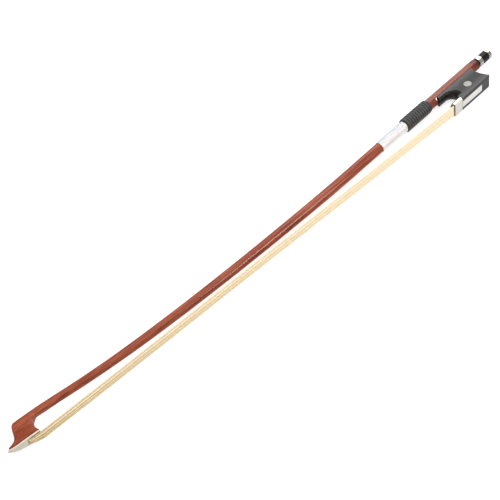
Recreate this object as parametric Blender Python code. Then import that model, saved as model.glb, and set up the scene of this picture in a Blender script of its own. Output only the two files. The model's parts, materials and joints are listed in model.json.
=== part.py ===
"""A child's violin bow of about one-eighth size, lying on its side.

+X runs along the hair from the head to the button, +Y from the hair to the stick, and +Z is up,
across the bow. The bow is drawn in its own plan, whose zero is the nose of the head on the outer face
of the hair, halfway through the bow's width. The handle leans a few degrees away from the hair, so the
frog, the screw and the button are drawn along the handle, from the front of the ferrule.
"""
import math

import bmesh
import bpy
import numpy as np

MM = 0.001

# Clearances
GAP = 0.3 * MM
FINE_GAP = 0.2 * MM
OVERCUT = 1.0 * MM

# Hair
HAIR_SPAN = 399.0 * MM
HAIR_THICKNESS = 0.95 * MM
HAIR_THIN = 0.5 * MM
HAIR_HALF_AT_HEAD = 3.7 * MM
HAIR_HALF_AT_FROG = 5.5 * MM

# Tip plate, its ebony liner and the head
PLATE_LENGTH = 24.0 * MM
PLATE_WIDTH = 9.8 * MM
PLATE_THICKNESS = 1.0 * MM
PLATE_SLOPE = 0.14
PLATE_POINT = 0.45
PLATE_EDGE = 0.25 * MM
NOSE_CURL = 1.5 * MM
NOSE_CURL_LENGTH = 8.0 * MM
NOSE_LIP = 2.5 * MM
NOSE_LIP_LEAN = 1.1 * MM
NOSE_OVERHANG = 0.15 * MM
LINER_THICKNESS = 0.35 * MM
HEAD_HEIGHT = 22.5 * MM
HEAD_TOP_WIDTH = 5.7 * MM
HEAD_FRONT = 1.5 * MM
HEAD_LEVELS = 26
TIP_MORTISE_FRONT = 13.7 * MM
TIP_MORTISE_LENGTH = 6.9 * MM
TIP_MORTISE_WIDTH = 5.8 * MM
TIP_MORTISE_DEPTH = 4.4 * MM
KNOT_RADIUS = 1.0 * MM

# Stick
STICK_THIN = 6.05 * MM
STICK_THICK = 8.05 * MM
STICK_SWELL = 1.0 * MM
STICK_SWELL_LENGTH = 30.0 * MM
STICK_ROOT = 0.88
STICK_ROOT_LENGTH = 9.0 * MM
STICK_SIDES = 24
STRAIGHT_RUN = 8.0 * MM
HANDLE_FLATS = 8.5 * MM
HANDLE_TILT = math.radians(3.35)
AXIS_HEIGHT = 20.1 * MM
STICK_END = 51.1 * MM
STICK_END_CHAMFER = 0.6 * MM
NIPPLE_LENGTH = 1.4 * MM
NIPPLE_DIAMETER = 5.6 * MM

# Camber: height of the stick's centre above the hair, at shares of the hair's span
CAMBER = (
    (0.004, 18.75 * MM),
    (0.053, 16.95 * MM),
    (0.115, 14.25 * MM),
    (0.190, 12.0 * MM),
    (0.278, 10.66 * MM),
    (0.380, 10.15 * MM),
    (0.490, 10.5 * MM),
    (0.600, 11.55 * MM),
    (0.717, 13.35 * MM),
)

# Leather grip and wire lapping, along the handle
LEATHER_FRONT = -36.6 * MM
LEATHER_REAR = -8.3 * MM
LEATHER_DIAMETER = 11.45 * MM
LEATHER_ROUND = 1.1 * MM
LAPPING_FRONT = -65.3 * MM
WIRE_DIAMETER = 0.65 * MM
WIRE_LOOPS = 23
WIRE_POINTS_PER_LOOP = 24
WIRE_TURN_IN = 0.9 * MM
LEAST_WIRE_GAP = 0.4 * MM

# Frog
FROG_LENGTH = 42.2 * MM
FROG_TOP_LENGTH = 41.3 * MM
FROG_WIDTH = 12.2 * MM
FROG_TOP_WIDTH = 9.2 * MM
FROG_BASE = -0.6 * MM
FROG_EDGE = 0.4 * MM
FROG_WAIST = 1.9 * MM
SIDE_LIP = 1.55 * MM
THUMB_FRONT = -1.2 * MM
THUMB_LEAN = 1.1 * MM
THUMB_CORNER = 1.8 * MM
THUMB_THICKNESS = 2.65 * MM
THROAT_RADIUS = 4.5 * MM
THROAT_X = 6.65 * MM
THROAT_ROUND = 4.2 * MM
THROAT_ROUND_WIDTH = 10.4 * MM
LINER_SHEET = 0.3 * MM
LINER_SLIP = 0.15 * MM
LINER_OVERHANG = 0.7 * MM
LINER_PIN_DIAMETER = 1.0 * MM
LINER_PIN_LENGTH = 1.3 * MM
LINER_PIN_INSET = 5.2 * MM
EYE_X = 24.9 * MM
EYE_HEIGHT = 7.5 * MM
EYE_DIAMETER = 6.7 * MM
EYE_THICKNESS = 1.0 * MM

# Ferrule, wedge, slide and plug
FERRULE_LENGTH = 8.7 * MM
FERRULE_WIDTH = 13.0 * MM
FERRULE_BASE = -0.8 * MM
FERRULE_TOP = 4.6 * MM
FERRULE_SHOULDER = 1.6 * MM
FERRULE_WALL = 0.55 * MM
FERRULE_CORNER = 0.8 * MM
FERRULE_EDGE = 0.15 * MM
TONGUE_BASE = 2.6 * MM
WEDGE_LENGTH = 4.6 * MM
SLIDE_END = 32.6 * MM
PEARL_WIDTH = 6.4 * MM
PEARL_THICKNESS = 0.7 * MM
SLIDE_THICKNESS = 1.1 * MM
SLIDE_FLARE = 0.6 * MM
FROG_MORTISE_FRONT = 23.5 * MM
FROG_MORTISE_LENGTH = 7.1 * MM
FROG_MORTISE_TOP = 7.0 * MM

# Screw, eyelet and button
SCREW_DIAMETER = 2.9 * MM
SCREW_FRONT = 8.0 * MM
SCREW_NOSE = 1.4 * MM
EYELET_X = 22.0 * MM
EYELET_LENGTH = 5.0 * MM
EYELET_WIDTH = 3.6 * MM
EYELET_HEIGHT = 4.4 * MM
EYELET_STEM_DIAMETER = 3.0 * MM
EYELET_STEM_DEPTH = 4.0 * MM
TRAVEL_LOOSE = 5.0 * MM
TRAVEL_TIGHT = 3.0 * MM
BUTTON_FLATS = 8.2 * MM
BUTTON_GAP = 1.1 * MM
COLLAR_LENGTH = 4.1 * MM
CORE_LENGTH = 6.9 * MM
CAP_LENGTH = 3.4 * MM
CAP_WALL = 1.0 * MM
BUTTON_EDGE = 0.35 * MM
SPIGOT_DIAMETER = 6.0 * MM

# Derived places
FERRULE_X = PLATE_LENGTH + HAIR_SPAN
PLATE_REAR_RISE = HAIR_THICKNESS + 2 * FINE_GAP
STACK = PLATE_THICKNESS + LINER_THICKNESS + 2 * FINE_GAP
HANDLE_HALF = HANDLE_FLATS / 2
STICK_FLOOR = AXIS_HEIGHT - HANDLE_HALF
FROG_TOP = STICK_FLOOR + SIDE_LIP
THUMB_FLOOR = STICK_FLOOR - THUMB_THICKNESS
THROAT_Y = THUMB_FLOOR - THROAT_RADIUS
BORE_RADIUS = SCREW_DIAMETER / 2 + GAP
COLLAR_FRONT = STICK_END + BUTTON_GAP
CORE_FRONT = COLLAR_FRONT + COLLAR_LENGTH
CAP_FRONT = CORE_FRONT + CORE_LENGTH
BUTTON_END = CAP_FRONT + CAP_LENGTH
BUTTON_HALF = BUTTON_FLATS / 2
SLIDE_BASE_FLOOR = FROG_BASE + PEARL_THICKNESS + FINE_GAP
SLIDE_BASE_TOP = SLIDE_BASE_FLOOR + SLIDE_THICKNESS
HAIR_OVER_SLIDE = SLIDE_BASE_TOP + FINE_GAP + HAIR_THIN / 2
HAIR_CHANNEL_TOP = HAIR_OVER_SLIDE + HAIR_THIN / 2 + FINE_GAP
FROG_MORTISE_REAR = FROG_MORTISE_FRONT + FROG_MORTISE_LENGTH
TIP_MORTISE_REAR = TIP_MORTISE_FRONT + TIP_MORTISE_LENGTH

# Colours, as linear red, green, blue
WOOD = (0.235, 0.042, 0.020)
EBONY = (0.012, 0.011, 0.011)
IVORY = (0.72, 0.66, 0.56)
SILVER = (0.72, 0.71, 0.69)
PEARL = (0.52, 0.52, 0.50)
LEATHER = (0.016, 0.015, 0.016)
HAIR = (0.80, 0.70, 0.50)
BRASS = (0.60, 0.42, 0.16)
STEEL = (0.45, 0.45, 0.45)
PLUG_WOOD = (0.55, 0.40, 0.24)


def clear_scene():
    """Start from an empty scene."""
    for thing in list(bpy.data.objects):
        bpy.data.objects.remove(thing, do_unlink=True)


def material(name, colour, roughness, metallic=0.0):
    """A plain Principled material."""
    found = bpy.data.materials.get(name)
    if found:
        return found
    made = bpy.data.materials.new(name)
    made.use_nodes = True
    shader = made.node_tree.nodes["Principled BSDF"]
    shader.inputs["Base Color"].default_value = (*colour, 1.0)
    shader.inputs["Roughness"].default_value = roughness
    shader.inputs["Metallic"].default_value = metallic
    return made


def empty(name, parent=None, location=(0, 0, 0), turn=0.0):
    """A frame that pieces are parented to; turn is about Z."""
    made = bpy.data.objects.new(name, None)
    made.empty_display_size = 0.01
    made.location = location
    made.rotation_euler = (0, 0, turn)
    made.parent = parent
    bpy.context.scene.collection.objects.link(made)
    return made


def add_piece(name, vertices, faces, parent, finish=None, sharp=35.0):
    """An object from vertices and faces, with its faces turned outwards and its round sides smooth."""
    mesh = bpy.data.meshes.new(name)
    mesh.from_pydata([tuple(map(float, v)) for v in vertices], [], faces)
    shape = bmesh.new()
    shape.from_mesh(mesh)
    bmesh.ops.recalc_face_normals(shape, faces=shape.faces)
    shape.to_mesh(mesh)
    shape.free()
    mesh.shade_smooth()
    mesh.set_sharp_from_angle(angle=math.radians(sharp))
    made = bpy.data.objects.new(name, mesh)
    if finish:
        mesh.materials.append(finish)
    made.parent = parent
    bpy.context.scene.collection.objects.link(made)
    return made


def ring_faces(rings, sides, closed):
    """Quads between neighbouring rings; closed also joins the last ring to the first."""
    faces = []
    last = rings if closed else rings - 1
    for i in range(last):
        here = i * sides
        after = ((i + 1) % rings) * sides
        for j in range(sides):
            k = (j + 1) % sides
            faces.append((here + j, here + k, after + k, after + j))
    return faces


def loft(name, rings, parent, finish=None, sharp=35.0):
    """A solid through a row of rings (rings, points, 3), closed by a flat cap at each end."""
    rings = np.asarray(rings, float)
    count, sides = rings.shape[:2]
    faces = ring_faces(count, sides, False)
    faces.append(tuple(range(sides))[::-1])
    faces.append(tuple(range((count - 1) * sides, count * sides)))
    return add_piece(name, rings.reshape(-1, 3), faces, parent, finish, sharp)


def sleeve(name, rings, parent, finish=None, sharp=35.0):
    """A solid with a hole through it: the rings run along the outside and back along the inside."""
    rings = np.asarray(rings, float)
    count, sides = rings.shape[:2]
    return add_piece(name, rings.reshape(-1, 3), ring_faces(count, sides, True), parent, finish, sharp)


def prism(name, outline, low, high, parent, finish=None, sharp=35.0):
    """An outline in the XY plane, carried from low to high along Z."""
    flat = np.asarray(outline, float)
    rings = [np.column_stack([flat, np.full(len(flat), z)]) for z in (low, high)]
    return loft(name, rings, parent, finish, sharp)


def bar(name, outline, start, end, parent, finish=None, sharp=35.0):
    """An outline given as (height, side) pairs, carried along X from start to end."""
    flat = np.asarray(outline, float)
    rings = [np.column_stack([np.full(len(flat), x), flat]) for x in (start, end)]
    return loft(name, rings, parent, finish, sharp)


def box(name, low, high, parent, finish=None):
    """A block between two corners."""
    outline = [(low[0], low[1]), (high[0], low[1]), (high[0], high[1]), (low[0], high[1])]
    return prism(name, outline, low[2], high[2], parent, finish)


def round_ring(radius, sides=STICK_SIDES):
    """A circle as (height, side) pairs, turned half a step so that it matches an octagon's corners."""
    angle = (np.arange(sides) + 0.5) * 2 * math.pi / sides
    return radius * np.column_stack([np.cos(angle), np.sin(angle)])


def octagon_ring(half_flats, sides=STICK_SIDES):
    """An octagon as (height, side) pairs with as many points as round_ring, flats up, down and aside."""
    circle = round_ring(1.0, sides)
    angle = np.arctan2(circle[:, 1], circle[:, 0])
    to_flat = angle - np.round(angle / (math.pi / 4)) * (math.pi / 4)
    return circle * (half_flats / np.cos(to_flat))[:, None]


def turned(name, stations, parent, finish=None, height=0.0, sides=STICK_SIDES, sharp=35.0):
    """A turned solid along X from (place, radius) stations, about an axis at the given height."""
    rings = []
    for place, radius in stations:
        flat = round_ring(radius, sides) + (height, 0.0)
        rings.append(np.column_stack([np.full(sides, place), flat]))
    return loft(name, rings, parent, finish, sharp)


def rod_across(name, x, y, radius, half_length, parent, finish=None, sides=16):
    """A round rod along Z, with rounded ends."""
    rim = radius * 0.25
    rings = []
    for z, r in ((-half_length, radius - rim), (rim - half_length, radius),
                 (half_length - rim, radius), (half_length, radius - rim)):
        flat = round_ring(r, sides) + (x, y)
        rings.append(np.column_stack([flat, np.full(sides, z)]))
    return loft(name, rings, parent, finish)


def post(name, x, bottom, top, radius, parent, finish=None, sides=12):
    """A round post along Y, standing in the bow's middle plane."""
    rings = []
    for y in (bottom, top):
        flat = round_ring(radius, sides)
        rings.append(np.column_stack([flat[:, 0] + x, np.full(sides, y), flat[:, 1]]))
    return loft(name, rings, parent, finish)


def combine(target, other, operation):
    """A live Boolean; the other object stays as a hidden guide."""
    step = target.modifiers.new(other.name, "BOOLEAN")
    step.operation = operation
    step.object = other
    step.solver = "EXACT"
    other.hide_render = True
    other.display_type = "WIRE"


def arc(centre, radius, start, end, points):
    """Points on an arc, angles in degrees."""
    angle = np.radians(np.linspace(start, end, points))
    return np.column_stack([centre[0] + radius * np.cos(angle), centre[1] + radius * np.sin(angle)])


def arc_through(first, middle, last, points):
    """Points on the circle through three points, from the first to the last."""
    a, b, c = (complex(*p) for p in (first, middle, last))
    w = (c - a) / (b - a)
    centre = (b - a) * (w - abs(w) ** 2) / (2j * w.imag) + a
    start = np.angle(a - centre)
    end = np.angle(c - centre)
    through = np.angle(b - centre)
    if not min(start, end) <= through <= max(start, end):
        end += math.copysign(2 * math.pi, start - end)
    angle = np.linspace(start, end, points)
    return np.column_stack([centre.real + abs(a - centre) * np.cos(angle),
                            centre.imag + abs(a - centre) * np.sin(angle)])


def curve_value(stations, values, x):
    """A smooth cubic through the stations, its slopes taken from their neighbours; gives value and slope."""
    stations = np.asarray(stations, float)
    values = np.asarray(values, float)
    slopes = np.gradient(values, stations)
    i = np.clip(np.searchsorted(stations, x) - 1, 0, len(stations) - 2)
    length = stations[i + 1] - stations[i]
    t = (x - stations[i]) / length
    a, b = values[i], values[i + 1]
    m, n = slopes[i] * length, slopes[i + 1] * length
    value = (2 * t**3 - 3 * t**2 + 1) * a + (t**3 - 2 * t**2 + t) * m
    value = value + (3 * t**2 - 2 * t**3) * b + (t**3 - t**2) * n
    slope = ((6 * t**2 - 6 * t) * (a - b) + (3 * t**2 - 4 * t + 1) * m + (3 * t**2 - 2 * t) * n) / length
    return value, slope


def from_handle(x, y):
    """A point drawn along the handle, in the bow's plan."""
    cos, sin = math.cos(HANDLE_TILT), math.sin(HANDLE_TILT)
    return FERRULE_X + x * cos - y * sin, x * sin + y * cos


def plate_face(x):
    """Height of the tip plate's outer face: a slope, with a curl near the nose."""
    curl = np.clip((NOSE_CURL_LENGTH - x) / NOSE_CURL_LENGTH, 0.0, None) ** 2
    return PLATE_REAR_RISE + PLATE_SLOPE * (PLATE_LENGTH - x) + NOSE_CURL * curl


def plate_half(x):
    """Half width of the tip plate, which narrows to the nose."""
    share = np.clip((x + PLATE_EDGE) / (PLATE_LENGTH + PLATE_EDGE), 0.004, 1.0)
    return PLATE_WIDTH / 2 * share**PLATE_POINT


def stick_centre():
    """Stations and heights of the stick's centre in the bow's plan, ending on the handle's line."""
    stations = [PLATE_LENGTH + share * HAIR_SPAN for share, _ in CAMBER]
    heights = [height for _, height in CAMBER]
    for x in (LAPPING_FRONT - STRAIGHT_RUN, LAPPING_FRONT, LEATHER_FRONT, LEATHER_REAR):
        place, height = from_handle(x, AXIS_HEIGHT)
        stations.append(place)
        heights.append(height)
    return stations, heights


def stick_width(x):
    """Diameter of the round stick at a place in the bow's plan."""
    full = from_handle(LAPPING_FRONT, AXIS_HEIGHT)[0]
    start = PLATE_LENGTH + STICK_SWELL_LENGTH
    share = np.clip((x - start) / (full - start), 0.0, 1.0)
    return STICK_THIN + (STICK_THICK - STICK_THIN) * (1 - (1 - share) ** 1.4)


def stick_section(x, gap=0.0):
    """A ring (points, 3) round the stick at x in the plan, square to its centre line."""
    stations, heights = stick_centre()
    height, slope = curve_value(stations, heights, x)
    swell = np.clip((PLATE_LENGTH + STICK_SWELL_LENGTH - x) / STICK_SWELL_LENGTH, 0.0, 1.0) ** 2
    half = stick_width(x) / 2 + gap
    root = np.clip((x - stations[0]) / STICK_ROOT_LENGTH, 0.0, 1.0)
    half *= STICK_ROOT + (1 - STICK_ROOT) * root * (2 - root)
    start, end = stations[-2], stations[-1] - GAP
    share = np.clip((x - start) / (end - start), 0.0, 1.0)
    flat = round_ring(half) * (1 - share) + octagon_ring(HANDLE_HALF + gap) * share
    flat[:, 0] *= 1 + STICK_SWELL * swell / (2 * half)
    lean = math.atan(slope)
    return np.column_stack([x - flat[:, 0] * math.sin(lean), height + flat[:, 0] * math.cos(lean), flat[:, 1]])


def handle_section(x, half_flats=HANDLE_HALF):
    """An octagonal ring (points, 3) across the handle's line, in the bow's plan."""
    flat = octagon_ring(half_flats)
    place, height = from_handle(x, AXIS_HEIGHT + flat[:, 0])
    return np.column_stack([place, height, flat[:, 1]])


def head_rings():
    """The head as stacked rings from the plate up to the crown.

    Each row gives the ring's front ridge and its back, as shares of the plate's length and the head's
    height, its half width as a share of the way from the crown's width to the plate's, how pointed
    its front is, how much of the plate's curve it keeps, and how narrow its back edge is. Rings
    between the rows follow a smooth curve through them.
    """
    low = (plate_face(HEAD_FRONT) + STACK) / HEAD_HEIGHT
    back_low = (plate_face(PLATE_LENGTH) + STACK) / HEAD_HEIGHT
    rows = np.array((
        (HEAD_FRONT / PLATE_LENGTH, low, 1.000, back_low, 1.00, 0.45, 1.00, 0.97),
        (0.079, 0.378, 0.985, 0.187, 0.93, 0.44, 0.85, 0.90),
        (0.204, 0.413, 0.977, 0.240, 0.86, 0.42, 0.65, 0.84),
        (0.304, 0.462, 0.977, 0.302, 0.78, 0.40, 0.45, 0.82),
        (0.362, 0.533, 0.985, 0.391, 0.62, 0.34, 0.30, 0.82),
        (0.396, 0.613, 1.008, 0.498, 0.44, 0.28, 0.15, 0.80),
        (0.429, 0.702, 1.058, 0.600, 0.28, 0.22, 0.00, 0.76),
        (0.462, 0.791, 1.170, 0.684, 0.14, 0.18, 0.00, 0.68),
        (0.496, 0.871, 1.310, 0.756, 0.04, 0.16, 0.00, 0.62),
        (0.542, 0.938, 1.410, 0.827, -0.06, 0.16, 0.00, 0.84),
        (0.580, 0.975, 1.400, 0.892, -0.28, 0.16, 0.00, 1.00),
        (0.628, 0.990, 1.400, 0.934, -0.75, 0.16, 0.00, 1.00),
    ))
    along = np.array([0.0, 0.03, 0.09, 0.2, 0.36, 0.53, 0.7, 0.84, 0.94, 1.0])
    back_edge = np.interp(along, [0.0, 0.84, 0.94, 1.0], [0.0, 0.0, 0.3, 1.0])
    crown_half = HEAD_TOP_WIDTH / 2
    base_x = np.interp(along, [0, 1], [HEAD_FRONT, PLATE_LENGTH])
    sag = plate_face(base_x) - np.interp(along, [0, 1], [plate_face(HEAD_FRONT), plate_face(PLATE_LENGTH)])
    index = np.arange(len(rows))
    rings = []
    for level in np.linspace(0, len(rows) - 1, HEAD_LEVELS):
        front, front_up, back, back_up, width, point, keep, edge = (
            curve_value(index, column, level)[0] for column in rows.T)
        x = np.interp(along, [0, 1], [front * PLATE_LENGTH, back * PLATE_LENGTH])
        y = np.interp(along, [0, 1], [front_up * HEAD_HEIGHT, back_up * HEAD_HEIGHT]) + keep * sag
        half = crown_half + width * (PLATE_WIDTH / 2 - crown_half)
        half = half * np.clip(along, 0.004, 1.0) ** point * (1 - back_edge * (1 - edge))
        near = np.column_stack([x, y, half])
        far = np.column_stack([x, y, -half])
        rings.append(np.vstack([near, far[::-1]]))
    return rings


def make_stick(plan, handle):
    """Stick and head in one: cambered, round in front and octagonal behind, bored for the screw."""
    wood = material("varnished_wood", WOOD, 0.28)
    stations, _ = stick_centre()
    start = stations[0]
    places = np.concatenate([
        np.linspace(start, stations[-4], 32),
        np.linspace(stations[-4], stations[-2], 6)[1:],
        np.linspace(stations[-2], stations[-1], 6)[1:],
    ])
    rings = [stick_section(x) for x in places]
    chamfered = HANDLE_HALF - STICK_END_CHAMFER / 2
    rings.append(handle_section(STICK_END - STICK_END_CHAMFER))
    rings.append(handle_section(STICK_END, chamfered))
    for x in (STICK_END, STICK_END + NIPPLE_LENGTH):
        flat = round_ring(NIPPLE_DIAMETER / 2)
        place, height = from_handle(x, AXIS_HEIGHT + flat[:, 0])
        rings.append(np.column_stack([place, height, flat[:, 1]]))
    stick = loft("stick", rings, plan, wood)
    head = loft("head_form", head_rings(), plan)
    combine(stick, head, "UNION")
    combine(stick, tip_mortise("tip_mortise", plan), "DIFFERENCE")
    bore_stations = [(SCREW_FRONT - GAP, BORE_RADIUS), (STICK_END + NIPPLE_LENGTH + OVERCUT, BORE_RADIUS)]
    bore = turned("screw_bore", bore_stations, handle, height=AXIS_HEIGHT, sides=12)
    combine(stick, bore, "DIFFERENCE")
    half = EYELET_LENGTH / 2 + GAP
    side = EYELET_WIDTH / 2 + GAP
    low = (EYELET_X - half - TRAVEL_LOOSE - OVERCUT / 2, STICK_FLOOR - OVERCUT, -side)
    high = (EYELET_X + half + TRAVEL_TIGHT + OVERCUT / 2, AXIS_HEIGHT + EYELET_HEIGHT / 2 + GAP, side)
    combine(stick, box("eyelet_slot", low, high, handle), "DIFFERENCE")
    return stick


def tip_mortise(name, plan, inset=0.0):
    """The pocket in the head, or with an inset its window in the plate and liner."""
    half = TIP_MORTISE_WIDTH / 2 - inset
    low = (TIP_MORTISE_FRONT + inset, -OVERCUT, -half)
    high = (TIP_MORTISE_REAR - inset, plate_face(TIP_MORTISE_FRONT) + TIP_MORTISE_DEPTH, half)
    return box(name, low, high, plan)


def facing_strip(name, bottom, thickness, places, inset, plan, finish):
    """A strip that follows the plate's curve, its lower edges eased."""
    rings = []
    for x in places:
        half = float(plate_half(x)) - inset
        y = float(plate_face(x)) + bottom
        edge = min(PLATE_EDGE, thickness / 3, half / 3)
        side = [half, half, half - edge, edge - half, -half, -half]
        up = [thickness, edge, 0.0, 0.0, edge, thickness]
        rings.append([(x, y + u, s) for u, s in zip(up, side)])
    return loft(name, rings, plan, finish)


def make_tip(plan):
    """Facings, knot and plug of the head."""
    places = np.concatenate([[0.35 * MM, 1.0 * MM, 2.0 * MM], np.linspace(3.5 * MM, PLATE_LENGTH, 14)])
    plate = facing_strip("tip_plate", 0.0, PLATE_THICKNESS, places, 0.0, plan, material("bone", IVORY, 0.35))
    nose = float(plate_face(places[0]))
    lip_half = float(plate_half(places[0])) + FINE_GAP
    tip = NOSE_LIP_LEAN - NOSE_OVERHANG
    outline = [(tip, nose + PLATE_THICKNESS / 2), (0.15 * MM, nose + 0.1 * MM),
               (-NOSE_OVERHANG, nose + PLATE_THICKNESS / 2), (tip - 0.1 * MM, nose + NOSE_LIP),
               (tip + 0.35 * MM, nose + NOSE_LIP), (tip, nose + 0.5 * NOSE_LIP)]
    lip = prism("nose_lip", outline, -lip_half, lip_half, plan)
    combine(plate, lip, "UNION")
    combine(plate, tip_mortise("plate_window", plan, FINE_GAP / 2), "DIFFERENCE")
    liner_places = np.linspace(1.5 * MM, PLATE_LENGTH - FINE_GAP, 15)
    liner = facing_strip("tip_liner", PLATE_THICKNESS + FINE_GAP, LINER_THICKNESS, liner_places, FINE_GAP, plan,
                         material("ebony", EBONY, 0.4))
    combine(liner, tip_mortise("liner_window", plan, FINE_GAP / 2), "DIFFERENCE")
    floor = float(plate_face(TIP_MORTISE_FRONT))
    knot_y = floor + TIP_MORTISE_DEPTH - KNOT_RADIUS - GAP
    knot_x = TIP_MORTISE_FRONT + KNOT_RADIUS + GAP
    half = TIP_MORTISE_WIDTH / 2 - GAP
    rod_across("tip_knot", knot_x, knot_y, KNOT_RADIUS, half - GAP, plan, material("bound_hair", HAIR, 0.6))
    front = TIP_MORTISE_FRONT + HAIR_THIN + 2 * GAP
    back = TIP_MORTISE_REAR - GAP
    low_front = floor + HAIR_THICKNESS / 2 + GAP
    low_back = float(plate_face(back)) + GAP
    step_x = knot_x + KNOT_RADIUS + GAP
    step_y = knot_y - KNOT_RADIUS - GAP
    outline = [(front, low_front), (back, low_back), (back, floor + TIP_MORTISE_DEPTH - GAP),
               (step_x, floor + TIP_MORTISE_DEPTH - GAP), (step_x, step_y), (front, step_y)]
    prism("tip_plug", outline, -half, half, plan, material("plug_wood", PLUG_WOOD, 0.7))


def make_leather(handle):
    """The thumb leather: a sleeve with rounded ends, its bore following the stick."""
    outer = LEATHER_DIAMETER / 2
    ease = [(0.0, 0.8), (0.3, 0.3), (1.0, 0.0)]
    profile = [(LEATHER_FRONT + a * LEATHER_ROUND, outer - b * LEATHER_ROUND) for a, b in ease]
    profile += [(LEATHER_REAR - a * LEATHER_ROUND, outer - b * LEATHER_ROUND) for a, b in ease[::-1]]
    rings = []
    for x, radius in profile:
        flat = round_ring(radius) + (AXIS_HEIGHT, 0.0)
        rings.append(np.column_stack([np.full(STICK_SIDES, x), flat]))
    cos, sin = math.cos(HANDLE_TILT), math.sin(HANDLE_TILT)
    for share in np.linspace(1, 0, 8):
        x = LEATHER_FRONT + share * (LEATHER_REAR - LEATHER_FRONT)
        ring = stick_section(from_handle(x, AXIS_HEIGHT)[0], FINE_GAP)
        across = (ring[:, 1] * cos - (ring[:, 0] - FERRULE_X) * sin, ring[:, 2])
        rings.append(np.column_stack([np.full(STICK_SIDES, x), *across]))
    sleeve("thumb_leather", rings, handle, material("black_leather", LEATHER, 0.55))


def lapping_path():
    """Points of the lapping wire: a helix whose two ends turn in to lie along the stick.

    On the unrolled surface of the handle the wire is a straight line, joined by a quarter round at
    each end to a short run along the handle.
    """
    straight = WIRE_DIAMETER
    front = LAPPING_FRONT + WIRE_DIAMETER / 2
    rear = LEATHER_FRONT - GAP
    radius = STICK_THICK / 2 + FINE_GAP + WIRE_DIAMETER / 2
    wound = rear - front - 2 * (straight + WIRE_TURN_IN)
    run = WIRE_LOOPS * 2 * math.pi * radius
    count = WIRE_LOOPS * WIRE_POINTS_PER_LOOP
    share = np.linspace(0, 1, count + 1)
    along = front + straight + WIRE_TURN_IN + wound * share
    around = run * share
    turn = np.radians(np.linspace(0, 90, 6))[:-1]
    start_along = front + straight + WIRE_TURN_IN * np.sin(turn)
    start_around = -WIRE_TURN_IN + WIRE_TURN_IN * (1 - np.cos(turn))
    x = np.concatenate([[front], start_along, along, (rear + front) - start_along[::-1], [rear]])
    u = np.concatenate([[-WIRE_TURN_IN], start_around, around, run - start_around[::-1], [run + WIRE_TURN_IN]])
    angle = u / radius
    points = np.column_stack([x, AXIS_HEIGHT + radius * np.cos(angle), radius * np.sin(angle)])
    pitch = wound / WIRE_LOOPS
    loops = points[6:-6]
    one = WIRE_POINTS_PER_LOOP
    least = np.linalg.norm(loops[one:] - loops[:-one], axis=1).min() - WIRE_DIAMETER
    print(f"wire lapping: {WIRE_LOOPS} loops, pitch {pitch / MM:.3f} mm")
    print(f"wire lapping: least gap to itself {least / MM:.3f} mm")
    if least < LEAST_WIRE_GAP:
        print("wire lapping: the gap is under its least value")
    return points


def make_lapping(handle):
    """The wire lapping as one unbroken tube."""
    points = lapping_path()
    data = bpy.data.curves.new("wire_lapping", "CURVE")
    data.dimensions = "3D"
    line = data.splines.new("POLY")
    line.points.add(len(points) - 1)
    line.points.foreach_set("co", np.column_stack([points, np.ones(len(points))]).ravel())
    data.bevel_depth = WIRE_DIAMETER / 2
    data.bevel_resolution = 1
    data.use_fill_caps = True
    data.materials.append(material("bright_wire", SILVER, 0.2, 1.0))
    made = bpy.data.objects.new("wire_lapping", data)
    made.parent = handle
    bpy.context.scene.collection.objects.link(made)


def hair_stations():
    """Centre of the hair ribbon in the bow's plan, as x, y, half width and thickness."""
    mouth = TIP_MORTISE_FRONT + HAIR_THIN / 2 + GAP
    floor = float(plate_face(TIP_MORTISE_FRONT))
    knot_floor = floor + TIP_MORTISE_DEPTH - 2 * KNOT_RADIUS - 2 * GAP
    tip_half = TIP_MORTISE_WIDTH / 2 - GAP
    rear = PLATE_LENGTH
    under = float(plate_face(TIP_MORTISE_REAR)) - GAP - HAIR_THICKNESS / 2
    rows = [
        (mouth, knot_floor - GAP, tip_half - GAP, HAIR_THIN),
        (mouth, floor + 0.9 * MM, tip_half - GAP, HAIR_THIN),
        (mouth + 0.25 * MM, floor + 0.35 * MM, tip_half - GAP, 1.15 * HAIR_THIN),
        (mouth + 1.0 * MM, floor - 0.3 * MM, tip_half - GAP, 1.4 * HAIR_THIN),
        (TIP_MORTISE_REAR, under, tip_half, HAIR_THICKNESS),
        (rear, HAIR_THICKNESS / 2, HAIR_HALF_AT_HEAD, HAIR_THICKNESS),
        (rear + 6.0 * MM, HAIR_THICKNESS / 2, HAIR_HALF_AT_HEAD + 0.1 * MM, HAIR_THICKNESS),
    ]
    for share in (0.25, 0.5, 0.75, 0.97):
        half = HAIR_HALF_AT_HEAD + share * (HAIR_HALF_AT_FROG - HAIR_HALF_AT_HEAD)
        rows.append((rear + share * HAIR_SPAN, HAIR_THICKNESS / 2, half, HAIR_THICKNESS))
    channel_half = PEARL_WIDTH / 2 + SLIDE_FLARE + FINE_GAP
    turn_x = FROG_MORTISE_REAR - GAP - HAIR_THIN / 2
    inner_rows = (
        (0.0, HAIR_THICKNESS / 2 + 0.05 * MM, HAIR_HALF_AT_FROG, HAIR_THICKNESS),
        (2.0 * MM, HAIR_THICKNESS / 2 + 0.05 * MM, HAIR_HALF_AT_FROG, HAIR_THICKNESS),
        (FERRULE_LENGTH + GAP, HAIR_OVER_SLIDE, channel_half, HAIR_THIN),
        (turn_x - 1.4 * MM, HAIR_OVER_SLIDE, channel_half, HAIR_THIN),
        (turn_x - 0.5 * MM, HAIR_OVER_SLIDE + 0.3 * MM, channel_half, HAIR_THIN),
        (turn_x, HAIR_OVER_SLIDE + 1.1 * MM, channel_half, HAIR_THIN),
        (turn_x, FROG_MORTISE_TOP - 2 * KNOT_RADIUS - 3 * GAP, channel_half, HAIR_THIN),
    )
    for x, y, half, thickness in inner_rows:
        rows.append((*from_handle(x, y), half, thickness))
    return np.array(rows)


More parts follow.
